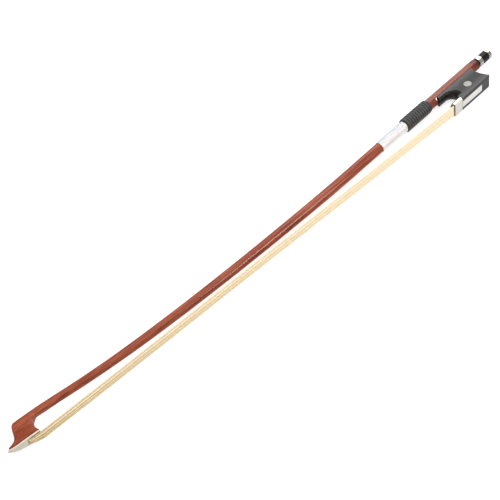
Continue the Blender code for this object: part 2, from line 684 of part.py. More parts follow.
def make_hair(plan):
    """The ribbon of hair from the knot in the head to the knot in the frog."""
    rows = hair_stations()
    step = np.diff(rows[:, :2], axis=0)
    step = step / np.linalg.norm(step, axis=1)[:, None]
    tangent = np.vstack([step[:1], step[1:] + step[:-1], step[-1:]])
    tangent = tangent / np.linalg.norm(tangent, axis=1)[:, None]
    rings = []
    for (x, y, half, thick), (tx, ty) in zip(rows, tangent):
        side = half * np.array([-1.0, -0.9, 0.9, 1.0, 1.0, 0.9, -0.9, -1.0])
        up = thick / 2 * np.array([0.4, 1.0, 1.0, 0.4, -0.4, -1.0, -1.0, -0.4])
        rings.append(np.column_stack([x - ty * up, y + tx * up, side]))
    loft("hair_ribbon", rings, plan, material("horsehair", HAIR, 0.5))


def frog_outline():
    """Side view of the frog, from the ferrule's rear round the heel, the back, the top and the throat."""
    heel_round = 0.5 * MM
    front = FERRULE_LENGTH + GAP
    points = [(front, FROG_BASE), (FROG_LENGTH - heel_round, FROG_BASE), (FROG_LENGTH, FROG_BASE + heel_round)]
    waist = (FROG_LENGTH - FROG_WAIST - heel_round, (FROG_BASE + FROG_TOP) / 2)
    back = arc_through((FROG_LENGTH, FROG_BASE + 2 * heel_round), waist, (FROG_TOP_LENGTH, FROG_TOP), 12)
    points.extend(map(tuple, back))
    nose_round = THUMB_THICKNESS * 0.42
    nose = (THUMB_FRONT - THUMB_LEAN + nose_round, THUMB_FLOOR + nose_round)
    points.append((THUMB_FRONT, FROG_TOP))
    points.extend(map(tuple, arc(nose, nose_round, 170, 262, 6)))
    spare = GAP
    foot = FERRULE_TOP + GAP
    radius = THROAT_RADIUS - spare
    end = -math.degrees(math.asin((THROAT_Y - foot) / radius))
    points.extend(map(tuple, arc((THROAT_X, THROAT_Y), radius, 90, end, 10)))
    points.append((front, foot))
    return points


def frog_side(y):
    """Half width of the frog: upright at the bottom and at the top, hollowed between them."""
    share = np.clip((y - FROG_BASE) / (FROG_TOP - FROG_BASE), 0.0, 1.0)
    return FROG_TOP_WIDTH / 2 + (FROG_WIDTH - FROG_TOP_WIDTH) / 4 * (1 + np.cos(math.pi * share))


def frog_front_view():
    """Height and side of the frog's section."""
    half = FROG_WIDTH / 2
    height = np.linspace(FROG_BASE + FROG_EDGE, FROG_TOP, 14)
    right = [(FROG_BASE - OVERCUT, half - FROG_EDGE), (FROG_BASE, half - FROG_EDGE)]
    right.extend(zip(height, frog_side(height)))
    right.append((FROG_TOP + OVERCUT, FROG_TOP_WIDTH / 2))
    left = [(up, -side) for up, side in right[::-1]]
    return right + left


def throat_form(carriage):
    """The hollow of the thumb: an arch under the stick whose both rims are fully rounded."""
    floor = FERRULE_TOP + GAP / 2
    rings = []
    for turn in (-92, -78, -64, -50, -36, -20, 0, 20, 36, 50, 64, 78, 92):
        angle = math.radians(turn)
        radius = THROAT_RADIUS + THROAT_ROUND * (1 - math.cos(angle))
        z = THROAT_ROUND_WIDTH / 2 * math.sin(angle)
        if abs(turn) > 90:
            z += math.copysign(OVERCUT, turn)
        start = math.degrees(math.asin((floor - THROAT_Y) / radius))
        far = THUMB_FRONT - 5 * MM
        arch = arc((THROAT_X, THROAT_Y), radius, start, 90, 16)
        flat = np.vstack([arch, [(far, THROAT_Y + radius), (far, floor)]])
        rings.append(np.column_stack([flat, np.full(len(flat), z)]))
    form = loft("throat_form", rings, carriage)
    shape = bmesh.new()
    shape.from_mesh(form.data)
    bmesh.ops.triangulate(shape, faces=shape.faces)
    shape.to_mesh(form.data)
    shape.free()
    return form


def thumb_corner(name, side, carriage):
    """What is cut from a front corner of the thumb, so that its end is rounded when seen from above."""
    drop = np.array([-0.2, 0.05, 0.3, 0.62, 1.0, 1.7])
    out = np.array([0.16, 0.36, 0.56, 0.75, 0.92, 1.15]) * FROG_TOP_WIDTH / 2
    before = THUMB_FRONT - 4 * OVERCUT
    curve = THUMB_FRONT - THUMB_LEAN + drop * THUMB_CORNER
    x = np.concatenate([curve, [THUMB_FRONT + 2 * OVERCUT, before, before]])
    z = side * np.concatenate([out, [FROG_WIDTH, FROG_WIDTH, out[0]]])
    rings = [np.column_stack([x, np.full(len(x), y), z]) for y in (THUMB_FLOOR - OVERCUT, FROG_TOP + OVERCUT)]
    return loft(name, rings, carriage)


def eye_ring(side, radius, depth):
    """A ring of an eye, in the slope of the frog's side; depth is below the surface."""
    slope = (frog_side(EYE_HEIGHT + MM) - frog_side(EYE_HEIGHT - MM)) / (2 * MM)
    flat = arc((EYE_X, EYE_HEIGHT), radius, 0, 360, 33)[:-1]
    z = side * (frog_side(EYE_HEIGHT) + slope * (flat[:, 1] - EYE_HEIGHT) - depth)
    return np.column_stack([flat, z])


def channel_outline(half_flats, top, sheet=0.0):
    """The three lower facets of an octagon about the screw's axis; with a sheet, a strip of that thickness."""
    def path(half):
        corner = half * math.tan(math.pi / 8)
        floor = AXIS_HEIGHT - half
        return [(top, corner + top - floor), (floor, corner), (floor, -corner), (top, -corner - top + floor)]
    if not sheet:
        return path(half_flats)
    return path(half_flats + sheet) + path(half_flats)[::-1]


def d_outline(inset):
    """Section of the ferrule: flat towards the hair with small corners, half round towards the stick."""
    half = FERRULE_WIDTH / 2 - inset
    floor = FERRULE_BASE + inset
    top = FERRULE_TOP - inset
    corner = max(FERRULE_CORNER - inset, 0.2 * MM)
    shoulder = max(FERRULE_SHOULDER, floor + corner)
    low = arc((floor + corner, half - corner), corner, 180, 90, 4)
    angle = np.radians(np.linspace(90, 0, 9))
    high = np.column_stack([shoulder + (top - shoulder) * np.cos(angle), half * np.sin(angle)])
    right = np.vstack([low, high])
    left = right[-2::-1] * (1, -1)
    return np.vstack([right, left])


def tongue_outline():
    """Section of the frog's tongue, the part of the ferrule's inside above the wedge."""
    inset = FERRULE_WALL + FINE_GAP
    half = FERRULE_WIDTH / 2 - inset
    rise = FERRULE_TOP - inset - FERRULE_SHOULDER
    start = math.asin((TONGUE_BASE - FERRULE_SHOULDER) / rise)
    angle = np.linspace(start, math.pi - start, 17)
    return np.column_stack([FERRULE_SHOULDER + rise * np.sin(angle), half * np.cos(angle)])


def slide_slot():
    """Section of the slot in the frog's underside: a lip, a dovetail and the hair's channel."""
    lip = PEARL_WIDTH / 2 + FINE_GAP
    wide = lip + SLIDE_FLARE + FINE_GAP
    flare_start = FROG_BASE + PEARL_THICKNESS * 0.9
    right = [(FROG_BASE - OVERCUT, lip), (flare_start, lip), (SLIDE_BASE_TOP, wide), (HAIR_CHANNEL_TOP, wide)]
    return right + [(up, -side) for up, side in right[::-1]]


def make_frog(carriage):
    """The ebony frog."""
    ebony = material("ebony", EBONY, 0.4)
    half = FROG_WIDTH / 2
    frog = prism("frog", frog_outline(), -half - OVERCUT, half + OVERCUT, carriage, ebony)
    before = THUMB_FRONT - THUMB_LEAN - 3 * OVERCUT
    beyond = FROG_LENGTH + OVERCUT
    combine(frog, bar("frog_front_view", frog_front_view(), before, beyond, carriage), "INTERSECT")
    combine(frog, throat_form(carriage), "DIFFERENCE")
    for name, side in (("thumb_corner_left", 1), ("thumb_corner_right", -1)):
        combine(frog, thumb_corner(name, side, carriage), "DIFFERENCE")
    tongue = bar("ferrule_tongue", tongue_outline(), 0.5 * MM, FERRULE_LENGTH + OVERCUT, carriage)
    combine(frog, tongue, "UNION")
    channel = channel_outline(HANDLE_HALF + LINER_SLIP + LINER_SHEET + LINER_SLIP, FROG_TOP + OVERCUT)
    combine(frog, bar("stick_channel", channel, before, beyond, carriage), "DIFFERENCE")
    combine(frog, bar("slide_slot", slide_slot(), FERRULE_LENGTH, SLIDE_END + GAP, carriage), "DIFFERENCE")
    wide = PEARL_WIDTH / 2 + SLIDE_FLARE + 2 * FINE_GAP
    pocket = box("frog_mortise", (FROG_MORTISE_FRONT, SLIDE_BASE_TOP, -wide),
                 (FROG_MORTISE_REAR, FROG_MORTISE_TOP, wide), carriage)
    combine(frog, pocket, "DIFFERENCE")
    for name, side in (("left_eye_seat", 1), ("right_eye_seat", -1)):
        radius = (EYE_DIAMETER + FINE_GAP) / 2
        rings = [eye_ring(side, radius, depth) for depth in (EYE_THICKNESS + FINE_GAP, -OVERCUT)]
        combine(frog, loft(name, rings, carriage), "DIFFERENCE")
    stem_end = STICK_FLOOR - EYELET_STEM_DEPTH - GAP
    stem_hole = post("stem_hole", EYELET_X, stem_end, FROG_TOP, EYELET_STEM_DIAMETER / 2 + GAP, carriage)
    combine(frog, stem_hole, "DIFFERENCE")
    pin_radius = LINER_PIN_DIAMETER / 2 + FINE_GAP
    for name, x in zip(("pin_hole_front", "pin_hole_rear"), liner_pin_places()):
        combine(frog, post(name, x, liner_pin_floor() - GAP, FROG_TOP, pin_radius, carriage), "DIFFERENCE")
    return frog


def liner_pin_places():
    """Where the two pins of the liner stand along the frog."""
    return THUMB_FRONT + LINER_PIN_INSET, FROG_TOP_LENGTH - LINER_PIN_INSET


def liner_pin_floor():
    """Lower end of the liner's pins."""
    return STICK_FLOOR - LINER_SLIP - LINER_SHEET / 2 - LINER_PIN_LENGTH


def make_liner(carriage):
    """The metal underslide that lines the frog's channel, with its two pins."""
    silver = material("nickel_silver", SILVER, 0.25, 1.0)
    sheet = channel_outline(HANDLE_HALF + LINER_SLIP, FROG_TOP + FINE_GAP, LINER_SHEET)
    liner = bar("frog_liner", sheet, THUMB_FRONT - LINER_OVERHANG, FROG_TOP_LENGTH - FINE_GAP, carriage, silver)
    floor = STICK_FLOOR - LINER_SLIP
    below, above = floor - OVERCUT, floor + OVERCUT
    hole = post("liner_stem_hole", EYELET_X, below, above, EYELET_STEM_DIAMETER / 2 + FINE_GAP, carriage)
    combine(liner, hole, "DIFFERENCE")
    top = floor - LINER_SHEET * 0.2
    steel = material("steel", STEEL, 0.3, 1.0)
    for name, x in zip(("liner_pin_front", "liner_pin_rear"), liner_pin_places()):
        hole = post(f"{name}_hole", x, below, above, LINER_PIN_DIAMETER / 2 + FINE_GAP, carriage)
        combine(liner, hole, "DIFFERENCE")
        post(name, x, liner_pin_floor(), top, LINER_PIN_DIAMETER / 2, carriage, steel)


def make_eyes(carriage):
    """The two round pearl eyes, let into the frog's sides."""
    pearl = material("pearl", PEARL, 0.2)
    rim = 0.12 * MM
    radius = (EYE_DIAMETER - FINE_GAP) / 2
    for name, side in (("frog_eye_left", 1), ("frog_eye_right", -1)):
        profile = ((radius, EYE_THICKNESS), (radius, rim), (radius - rim, 0.0))
        loft(name, [eye_ring(side, r, depth) for r, depth in profile], carriage, pearl)


def make_ferrule(carriage):
    """The ferrule, and the wedge that spreads the hair inside it."""
    silver = material("nickel_silver", SILVER, 0.25, 1.0)
    profile = ((0.0, FERRULE_EDGE), (FERRULE_EDGE, 0.0), (FERRULE_LENGTH - FERRULE_EDGE, 0.0),
               (FERRULE_LENGTH, FERRULE_EDGE), (FERRULE_LENGTH, FERRULE_WALL), (0.0, FERRULE_WALL))
    rings = []
    for x, inset in profile:
        flat = d_outline(inset)
        rings.append(np.column_stack([np.full(len(flat), x), flat]))
    sleeve("ferrule", rings, carriage, silver)
    start = 0.4 * MM
    low = HAIR_THICKNESS + 0.05 * MM + FINE_GAP
    high = TONGUE_BASE - FINE_GAP
    thin = 0.45 * MM
    outline = [(start, low), (start + WEDGE_LENGTH, high - thin), (start + WEDGE_LENGTH, high), (start, high)]
    half = FERRULE_WIDTH / 2 - FERRULE_WALL - 3 * GAP
    prism("ferrule_wedge", outline, -half, half, carriage, material("plug_wood", PLUG_WOOD, 0.7))


def make_slide(carriage):
    """The pearl slide: a dovetailed ebony base under a strip of pearl."""
    start = FERRULE_LENGTH + 2 * GAP
    half = PEARL_WIDTH / 2
    top = FROG_BASE + PEARL_THICKNESS
    pearl = [(FROG_BASE, half), (top, half), (top, -half), (FROG_BASE, -half)]
    bar("slide_pearl", pearl, start, SLIDE_END, carriage, material("pearl", PEARL, 0.2))
    low, high = half, half + SLIDE_FLARE * 0.8
    base = [(SLIDE_BASE_FLOOR, low), (SLIDE_BASE_TOP, high), (SLIDE_BASE_TOP, -high), (SLIDE_BASE_FLOOR, -low)]
    bar("slide_base", base, start, SLIDE_END, carriage, material("ebony", EBONY, 0.4))


def make_frog_plug(carriage):
    """Knot and plug in the frog's mortise."""
    wide = PEARL_WIDTH / 2 + SLIDE_FLARE + FINE_GAP
    knot_x = FROG_MORTISE_REAR - KNOT_RADIUS - GAP
    knot_y = FROG_MORTISE_TOP - KNOT_RADIUS - GAP
    bound = material("bound_hair", HAIR, 0.6)
    rod_across("frog_knot", knot_x, knot_y, KNOT_RADIUS, wide - GAP, carriage, bound)
    front = FROG_MORTISE_FRONT + GAP
    back = FROG_MORTISE_REAR - HAIR_THIN - 3 * GAP
    low = HAIR_CHANNEL_TOP
    step_x = knot_x - KNOT_RADIUS - GAP
    step_y = knot_y - KNOT_RADIUS - GAP
    top = FROG_MORTISE_TOP - GAP
    ease = 0.6 * MM
    outline = [(front, low), (back - ease, low), (back, low + ease), (back, step_y), (step_x, step_y)]
    outline += [(step_x, top), (front, top)]
    prism("frog_plug", outline, -wide, wide, carriage, material("plug_wood", PLUG_WOOD, 0.7))


def make_eyelet(carriage):
    """The brass eyelet: a nut on the screw whose stem is driven into the frog."""
    brass = material("brass", BRASS, 0.35, 1.0)
    half = EYELET_LENGTH / 2
    low = (EYELET_X - half, AXIS_HEIGHT - EYELET_HEIGHT / 2, -EYELET_WIDTH / 2)
    high = (EYELET_X + half, AXIS_HEIGHT + EYELET_HEIGHT / 2, EYELET_WIDTH / 2)
    eyelet = box("eyelet", low, high, carriage, brass)
    stem_low = STICK_FLOOR - EYELET_STEM_DEPTH
    stem = post("eyelet_stem", EYELET_X, stem_low, low[1] + FINE_GAP, EYELET_STEM_DIAMETER / 2, carriage)
    combine(eyelet, stem, "UNION")
    bore = SCREW_DIAMETER / 2 + FINE_GAP
    nut_stations = [(low[0] - OVERCUT, bore), (high[0] + OVERCUT, bore)]
    nut = turned("eyelet_thread", nut_stations, carriage, height=AXIS_HEIGHT, sides=12)
    combine(eyelet, nut, "DIFFERENCE")


def octagon_shell(name, profile, bore, parent, finish):
    """An octagonal ring about the screw's axis from (place, half flats) pairs, with a round bore."""
    rings = []
    for x, half_flats in profile:
        rings.append(np.column_stack([np.full(STICK_SIDES, x), octagon_ring(half_flats)]))
    for x, radius in bore:
        rings.append(np.column_stack([np.full(STICK_SIDES, x), round_ring(radius)]))
    return sleeve(name, rings, parent, finish, 20.0)


def make_screw(axis):
    """The screw and the button: collar, ebony core and cap. They turn together about the screw's axis."""
    steel = material("steel", STEEL, 0.3, 1.0)
    silver = material("nickel_silver", SILVER, 0.25, 1.0)
    radius = SCREW_DIAMETER / 2
    rear = CAP_FRONT + CAP_LENGTH - CAP_WALL - 2 * GAP
    screw_stations = [(SCREW_FRONT, radius * 0.5), (SCREW_FRONT + SCREW_NOSE, radius), (rear, radius)]
    turned("screw", screw_stations, axis, steel, sides=12)
    bore = SPIGOT_DIAMETER / 2 + FINE_GAP
    edge = BUTTON_EDGE
    front, back = COLLAR_FRONT, CORE_FRONT - FINE_GAP
    profile = [(front, BUTTON_HALF - edge), (front + edge, BUTTON_HALF), (back, BUTTON_HALF)]
    octagon_shell("button_collar", profile, [(back, bore), (front, bore)], axis, silver)
    core_front = COLLAR_FRONT + NIPPLE_LENGTH
    core_back = CAP_FRONT + CAP_LENGTH - CAP_WALL - FINE_GAP
    spigot = SPIGOT_DIAMETER / 2
    hole = radius + FINE_GAP
    thin, wide, inside = round_ring(spigot), octagon_ring(BUTTON_HALF - edge / 3), round_ring(hole)
    sections = ((core_front, thin), (CORE_FRONT, thin), (CORE_FRONT, wide), (CAP_FRONT, wide),
                (CAP_FRONT, thin), (core_back, thin), (core_back, inside), (core_front, inside))
    rings = [np.column_stack([np.full(STICK_SIDES, x), flat]) for x, flat in sections]
    sleeve("button_core", rings, axis, material("ebony", EBONY, 0.4), 20.0)
    front, back = CAP_FRONT + FINE_GAP, BUTTON_END
    inner = back - CAP_WALL
    shell = [(inner, round_ring(bore)), (front, round_ring(bore)), (front, octagon_ring(BUTTON_HALF)),
             (back - edge, octagon_ring(BUTTON_HALF)), (back, octagon_ring(BUTTON_HALF - edge))]
    rings = [np.column_stack([np.full(STICK_SIDES, x), flat]) for x, flat in shell]
    loft("button_cap", rings, axis, silver, 20.0)


def bow_box():
    """Lowest and highest places of the bow in its plan, from its outermost pieces."""
    right = from_handle(BUTTON_END, AXIS_HEIGHT - BUTTON_HALF + BUTTON_EDGE)[0]
    left = -NOSE_OVERHANG
    low = from_handle(FERRULE_EDGE, FERRULE_BASE)[1]
    high = from_handle(BUTTON_END - BUTTON_EDGE, AXIS_HEIGHT + BUTTON_HALF)[1]
    return left, right, low, high


def build():
    """Place the frames and make every piece."""
    clear_scene()
    left, right, low, high = bow_box()
    plan = empty("bow_plan", None, (-(left + right) / 2, -(low + high) / 2, FERRULE_WIDTH / 2))
    handle = empty("handle_line", plan, (FERRULE_X, 0, 0), HANDLE_TILT)
    carriage = empty("frog_carriage", handle)
    axis = empty("screw_axis", handle, (0, AXIS_HEIGHT, 0))
    make_stick(plan, handle)
    make_tip(plan)
    make_hair(plan)
    make_leather(handle)
    make_lapping(handle)
    make_frog(carriage)
    make_liner(carriage)
    make_eyes(carriage)
    make_ferrule(carriage)
    make_slide(carriage)
    make_frog_plug(carriage)
    make_eyelet(carriage)
    make_screw(axis)


build()
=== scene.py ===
# %% [markdown]
# # A child's violin bow, finished
#
# A violin bow is a springy stick of red-brown wood with a ribbon of horsehair stretched under it.
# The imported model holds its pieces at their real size. This file gives them their finish: the
# varnish, the ebony, the pearl, the polished metal, and a ribbon of 132 single strands of hair.
# It was built from a photograph, so the camera stands where that photograph was taken.

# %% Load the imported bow
import json
import math

import bmesh
import bpy
import numpy as np
from mathutils import Matrix, Vector

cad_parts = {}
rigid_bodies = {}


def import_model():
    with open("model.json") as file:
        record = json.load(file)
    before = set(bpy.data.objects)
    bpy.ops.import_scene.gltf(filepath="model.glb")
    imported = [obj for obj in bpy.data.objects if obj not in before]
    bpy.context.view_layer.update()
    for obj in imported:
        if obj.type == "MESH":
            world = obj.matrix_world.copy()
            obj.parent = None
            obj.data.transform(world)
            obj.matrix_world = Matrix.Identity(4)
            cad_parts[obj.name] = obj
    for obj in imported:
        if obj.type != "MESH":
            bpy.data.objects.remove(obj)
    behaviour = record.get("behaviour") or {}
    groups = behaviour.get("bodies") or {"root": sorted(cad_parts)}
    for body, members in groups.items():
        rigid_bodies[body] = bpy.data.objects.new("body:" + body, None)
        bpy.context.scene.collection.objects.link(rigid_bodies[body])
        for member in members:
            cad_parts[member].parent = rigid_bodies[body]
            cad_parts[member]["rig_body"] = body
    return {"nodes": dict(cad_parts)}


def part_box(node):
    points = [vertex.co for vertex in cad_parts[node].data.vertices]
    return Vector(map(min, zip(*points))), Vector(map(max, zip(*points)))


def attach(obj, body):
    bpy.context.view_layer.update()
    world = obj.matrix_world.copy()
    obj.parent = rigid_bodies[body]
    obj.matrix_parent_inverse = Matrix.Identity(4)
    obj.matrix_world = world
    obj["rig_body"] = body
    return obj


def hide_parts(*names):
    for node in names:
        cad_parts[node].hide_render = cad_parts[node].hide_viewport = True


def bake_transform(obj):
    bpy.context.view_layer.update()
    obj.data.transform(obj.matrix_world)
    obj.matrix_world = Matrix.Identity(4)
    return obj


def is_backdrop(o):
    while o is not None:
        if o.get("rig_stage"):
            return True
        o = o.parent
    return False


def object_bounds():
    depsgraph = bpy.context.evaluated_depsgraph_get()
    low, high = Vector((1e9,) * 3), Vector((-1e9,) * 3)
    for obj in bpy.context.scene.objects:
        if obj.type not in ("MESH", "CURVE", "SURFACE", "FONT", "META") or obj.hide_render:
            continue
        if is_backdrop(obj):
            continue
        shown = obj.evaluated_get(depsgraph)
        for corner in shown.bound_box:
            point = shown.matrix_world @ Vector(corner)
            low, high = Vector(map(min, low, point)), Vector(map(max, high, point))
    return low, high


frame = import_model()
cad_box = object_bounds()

nodes = frame["nodes"]
scene = bpy.context.scene

# %% [markdown]
# ## Where things are
#
# The bow was drawn in its own plan, in millimetres: X from the nose along the hair, Y from the
# hair to the stick, Z across the bow. The handle leans a few degrees away from the hair, so what is
# on it is drawn along its own line, from the front of the ferrule. Two small functions turn these
# drawings into places in the model.

# %% The bow's plan and the handle's line
MM = 0.001
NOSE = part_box("tip_plate")[0].x + 0.15 * MM  # the plate starts 0.15 mm ahead of the plan's zero
HAIR_FACE = -0.0136201  # the hair's lower face in the model, in metres
MIDDLE = (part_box("ferrule")[0].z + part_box("ferrule")[1].z) / 2
FERRULE_X = 423.0  # the front of the ferrule, where the handle's line starts
HANDLE_TILT = math.radians(3.35)
AXIS_HEIGHT = 20.1  # the handle's axis above that line
STICK_END = 51.1  # the sawn end of the stick, along the handle


def from_plan(x, y, z):
    """Points of the plan, in millimetres, as an array of places in the model, in metres.

    Each place is that of the plan's zero plus the point in metres.
    """
    x, y, z = np.broadcast_arrays(*(np.asarray(v, float) for v in (x, y, z)))
    return np.stack([NOSE + x * MM, HAIR_FACE + y * MM, MIDDLE + z * MM], axis=-1)


def along_handle(x, y, z):
    """Points drawn along the handle, as places in the model.

    In the plan, x is the ferrule's front plus x cos lean minus y sin lean, and y is x sin lean plus
    y cos lean.
    """
    x, y, z = np.broadcast_arrays(*(np.asarray(v, float) for v in (x, y, z)))
    cos, sin = math.cos(HANDLE_TILT), math.sin(HANDLE_TILT)
    return from_plan(FERRULE_X + x * cos - y * sin, x * sin + y * cos, z)


end_x = float(along_handle(STICK_END, AXIS_HEIGHT, 0)[0])
print("the bow runs from x", round(NOSE, 4), "to the sawn end at x", round(end_x, 4))

# %% [markdown]
# ## Surfaces from grids
#
# Every new piece here is a grid: rings of points placed along a path. Neighbouring points are joined
# by quads, all at once with array arithmetic, and a flat face closes each end. Where the piece is a
# sleeve, with an outside and a bore, the last ring is joined to the first instead.

# %% Put grids of points into a mesh


def grid_quads(rings, sides, closed_along):
    """The corners of a grid's quads, where point (i, j) is number i times sides plus j.

    Quad (i, j) joins points (i, j), (i, j+1), (i+1, j+1) and (i+1, j), and each ring is closed round.
    """
    i = np.arange(rings if closed_along else rings - 1)[:, None]
    j = np.arange(sides)[None, :]
    after_i, after_j = (i + 1) % rings, (j + 1) % sides
    corners = (i * sides + j, i * sides + after_j, after_i * sides + after_j, after_i * sides + j)
    return np.stack(np.broadcast_arrays(*corners), axis=-1).reshape(-1, 4)


def surface(name, points, finish, smooth, closed_along=False):
    """An object from one grid of points (rings, sides, 3), or many (grids, rings, sides, 3).

    Its faces are turned outwards, and edges that turn by less than smooth, in degrees, look round.
    """
    rings, sides = points.shape[-3:-1]
    points = points.reshape(-1, 3)
    first = np.arange(0, len(points), rings * sides)[:, None]
    faces = (first[..., None] + grid_quads(rings, sides, closed_along)).reshape(-1, 4).tolist()
    if not closed_along:
        ring = np.arange(sides)
        faces += (first + ring[::-1]).tolist() + (first + (rings - 1) * sides + ring).tolist()
    mesh = bpy.data.meshes.new(name)
    mesh.from_pydata(points.tolist(), [], faces)
    shape = bmesh.new()
    shape.from_mesh(mesh)
    bmesh.ops.recalc_face_normals(shape, faces=shape.faces)
    shape.to_mesh(mesh)
    shape.free()
    mesh.shade_smooth()
    mesh.set_sharp_from_angle(angle=math.radians(smooth))
    mesh.materials.append(finish)
    made = bpy.data.objects.new(name, mesh)
    scene.collection.objects.link(made)
    return made


def keep_on_points(piece, name, values):
    """Store one number for each point of a piece, under a name that its material can read."""
    layer = piece.data.attributes.new(name, "FLOAT", "POINT")
    layer.data.foreach_set("value", np.asarray(values, np.float32).ravel())


print("quads between 4 rings of 8 points:", len(grid_quads(4, 8, closed_along=False)))

# %% [markdown]
# ## A finish is a small network of nodes
#
# Each finish below starts from what the real material is. Colours are written as they would be
# picked from a screen, in hex, and one function turns them to the linear numbers that a shader
# expects. Another adds a node with its settings and links, so that a network reads as a list.
# Object coordinates are the model's own metres. A pattern's size is written in millimetres, and a
# Mapping node divides the coordinates by it, so the pattern has its real scale on the bow.

# %% Colours, sizes and nodes


def linear(hex_colour):
    """A screen colour such as '#8a3b26' as linear red, green, blue and full opacity.

    Each channel c is c/12.92 below 0.04045, and ((c + 0.055) / 1.055) to the power 2.4 above.
    """
    c = np.array([int(hex_colour[i:i + 2], 16) / 255 for i in (1, 3, 5)])
    low, high = c / 12.92, ((c + 0.055) / 1.055) ** 2.4
    return (*np.where(c <= 0.04045, low, high).tolist(), 1.0)


def cells(x, y, z):
    """The scale that makes a pattern's cells this many millimetres long along each axis.

    A Mapping node of the TEXTURE type turns the coordinates back first, then divides them by this.
    """
    return x * MM, y * MM, z * MM


def node(tree, kind, inputs=None, stops=None, **settings):
    """Add one node with its settings and links.

    Inputs are {socket: a value, or the output to link}, stops are a ramp's (place, hex colour), and
    each setting is a property of the node or the value of the socket with that name.
    """
    made = tree.nodes.new(kind)
    for key, value in settings.items():
        if hasattr(made, key):
            setattr(made, key, value)
        else:
            made.inputs[key.replace("_", " ")].default_value = value
    for index, (at, colour) in enumerate(stops or ()):
        ramp = made.color_ramp.elements
        stop = ramp[index] if index < len(ramp) else ramp.new(at)
        stop.position, stop.color = at, linear(colour)
    for socket, source in (inputs or {}).items():
        if isinstance(source, bpy.types.NodeSocket):
            tree.links.new(source, made.inputs[socket])
        else:
            made.inputs[socket].default_value = source
    return made


def blank(name):
    """A new material with an empty network, and the Object coordinates that its patterns start from."""
    made = bpy.data.materials.new(name)
    made.use_nodes = True
    made.node_tree.nodes.clear()
    return made, made.node_tree, node(made.node_tree, "ShaderNodeTexCoord").outputs["Object"]


print("a mid red-brown in linear light:", [round(v, 3) for v in linear("#8a3b26")[:3]])

# %% [markdown]
# ## Varnished pernambuco
#
# The stick is a dense orange-red wood, planed and scraped, then varnished in thin coats until it
# shines. The eye sees dark streaks that run along the stick, slow clouds of lighter and darker wood,
# and over them one thin bright line from the varnish. So the grain is noise stretched along X, and
# the varnish is the shader's coat. From under the leather back to the sawn end the wood is painted
# darker, as painted shade, and the rim of the sawn end is painted darkest.

# %% The grain of the stick
wood, tree, place = blank("varnished_pernambuco")
# Real pores are 0.1 mm wide, finer than a pixel: the streaks are drawn eight times as wide.
along = node(tree, "ShaderNodeMapping", {"Vector": place}, vector_type="TEXTURE",
             Scale=cells(26, 0.85, 0.85))
streaks = node(tree, "ShaderNodeTexNoise", {"Vector": along.outputs[0]}, Scale=1, Detail=5,
               Roughness=0.6)
grain = node(tree, "ShaderNodeValToRGB", {"Fac": streaks.outputs["Fac"]},
             [(0.28, "#6c2d1b"), (0.44, "#92472e"), (0.58, "#a5573c"), (0.76, "#b8694c")])
slow = node(tree, "ShaderNodeMapping", {"Vector": place}, vector_type="TEXTURE",
            Scale=cells(60, 9, 9))
clouds = node(tree, "ShaderNodeTexNoise", {"Vector": slow.outputs[0]}, Scale=1, Detail=2)
cloudy = node(tree, "ShaderNodeValToRGB", {"Fac": clouds.outputs["Fac"]},
              [(0.35, "#d3a493"), (0.65, "#ffffff")])
tone = node(tree, "ShaderNodeMix", {6: grain.outputs[0], 7: cloudy.outputs[0]}, data_type="RGBA",
            blend_type="MULTIPLY", Factor=0.6)
print("nodes in the grain:", len(tree.nodes))

# %% The painted shade near the sawn end, and the varnish
SHADED_LENGTH = 66.0  # painted shade darkens this length of the stick, in mm
END_EDGE = 0.3  # the softened edge of the sawn end, in mm
split = node(tree, "ShaderNodeSeparateXYZ", {"Vector": place})
near_end = node(tree, "ShaderNodeMapRange", {"Value": split.outputs["X"]},
                From_Min=end_x - SHADED_LENGTH * MM, From_Max=end_x - END_EDGE * MM)
# Painted shade: past a tenth of the way the wood is a darker copy of itself, darkest at the sawn end's
# rim.
darker = node(tree, "ShaderNodeValToRGB", {"Fac": near_end.outputs[0]},
              [(0, "#ffffff"), (0.1, "#dccfcd"), (0.86, "#dccfcd"), (0.93, "#b38e7e"),
               (0.985, "#8f6c5c"), (1, "#6c483c")])
wood_tone = node(tree, "ShaderNodeMix", {6: tone.outputs[2], 7: darker.outputs[0]}, data_type="RGBA",
                 blend_type="MULTIPLY", Factor=1)
# The pores, drawn three times as wide as real ones, leave the surface a little uneven.
thin = node(tree, "ShaderNodeMapping", {"Vector": place}, vector_type="TEXTURE",
            Scale=cells(5, 0.3, 0.3))
pores = node(tree, "ShaderNodeTexNoise", {"Vector": thin.outputs[0]}, Scale=1, Detail=3)
rough = node(tree, "ShaderNodeMapRange", {"Value": pores.outputs["Fac"]}, From_Min=0.3, From_Max=0.7,
             To_Min=0.42, To_Max=0.54)
dents = node(tree, "ShaderNodeBump", {"Height": pores.outputs["Fac"]}, Distance=0.015 * MM, Strength=0.3)
# The coat is thin and smoother than the wood, so that it shows a narrow light as one fine line.
shader = node(tree, "ShaderNodeBsdfPrincipled",
              {"Base Color": wood_tone.outputs[2], "Roughness": rough.outputs[0],
               "Normal": dents.outputs[0]},
              Specular_IOR_Level=0.13, Coat_Weight=0.14, Coat_Roughness=0.17)
node(tree, "ShaderNodeOutputMaterial", {"Surface": shader.outputs[0]})
print("nodes in the varnished wood:", len(tree.nodes))

# %% [markdown]
# ## Polished ebony
#
# The frog and the middle of the button are ebony. It is nearly black, with faint brown-grey streaks.
# The frog is filed to shape and rubbed with oil, and its satin shine takes up the light of the room:
# its side turns grey towards the bottom edge and stays black in the hollow of the thumb. The small
# barrel of the button is turned on a lathe and left drier, so it stays blacker.

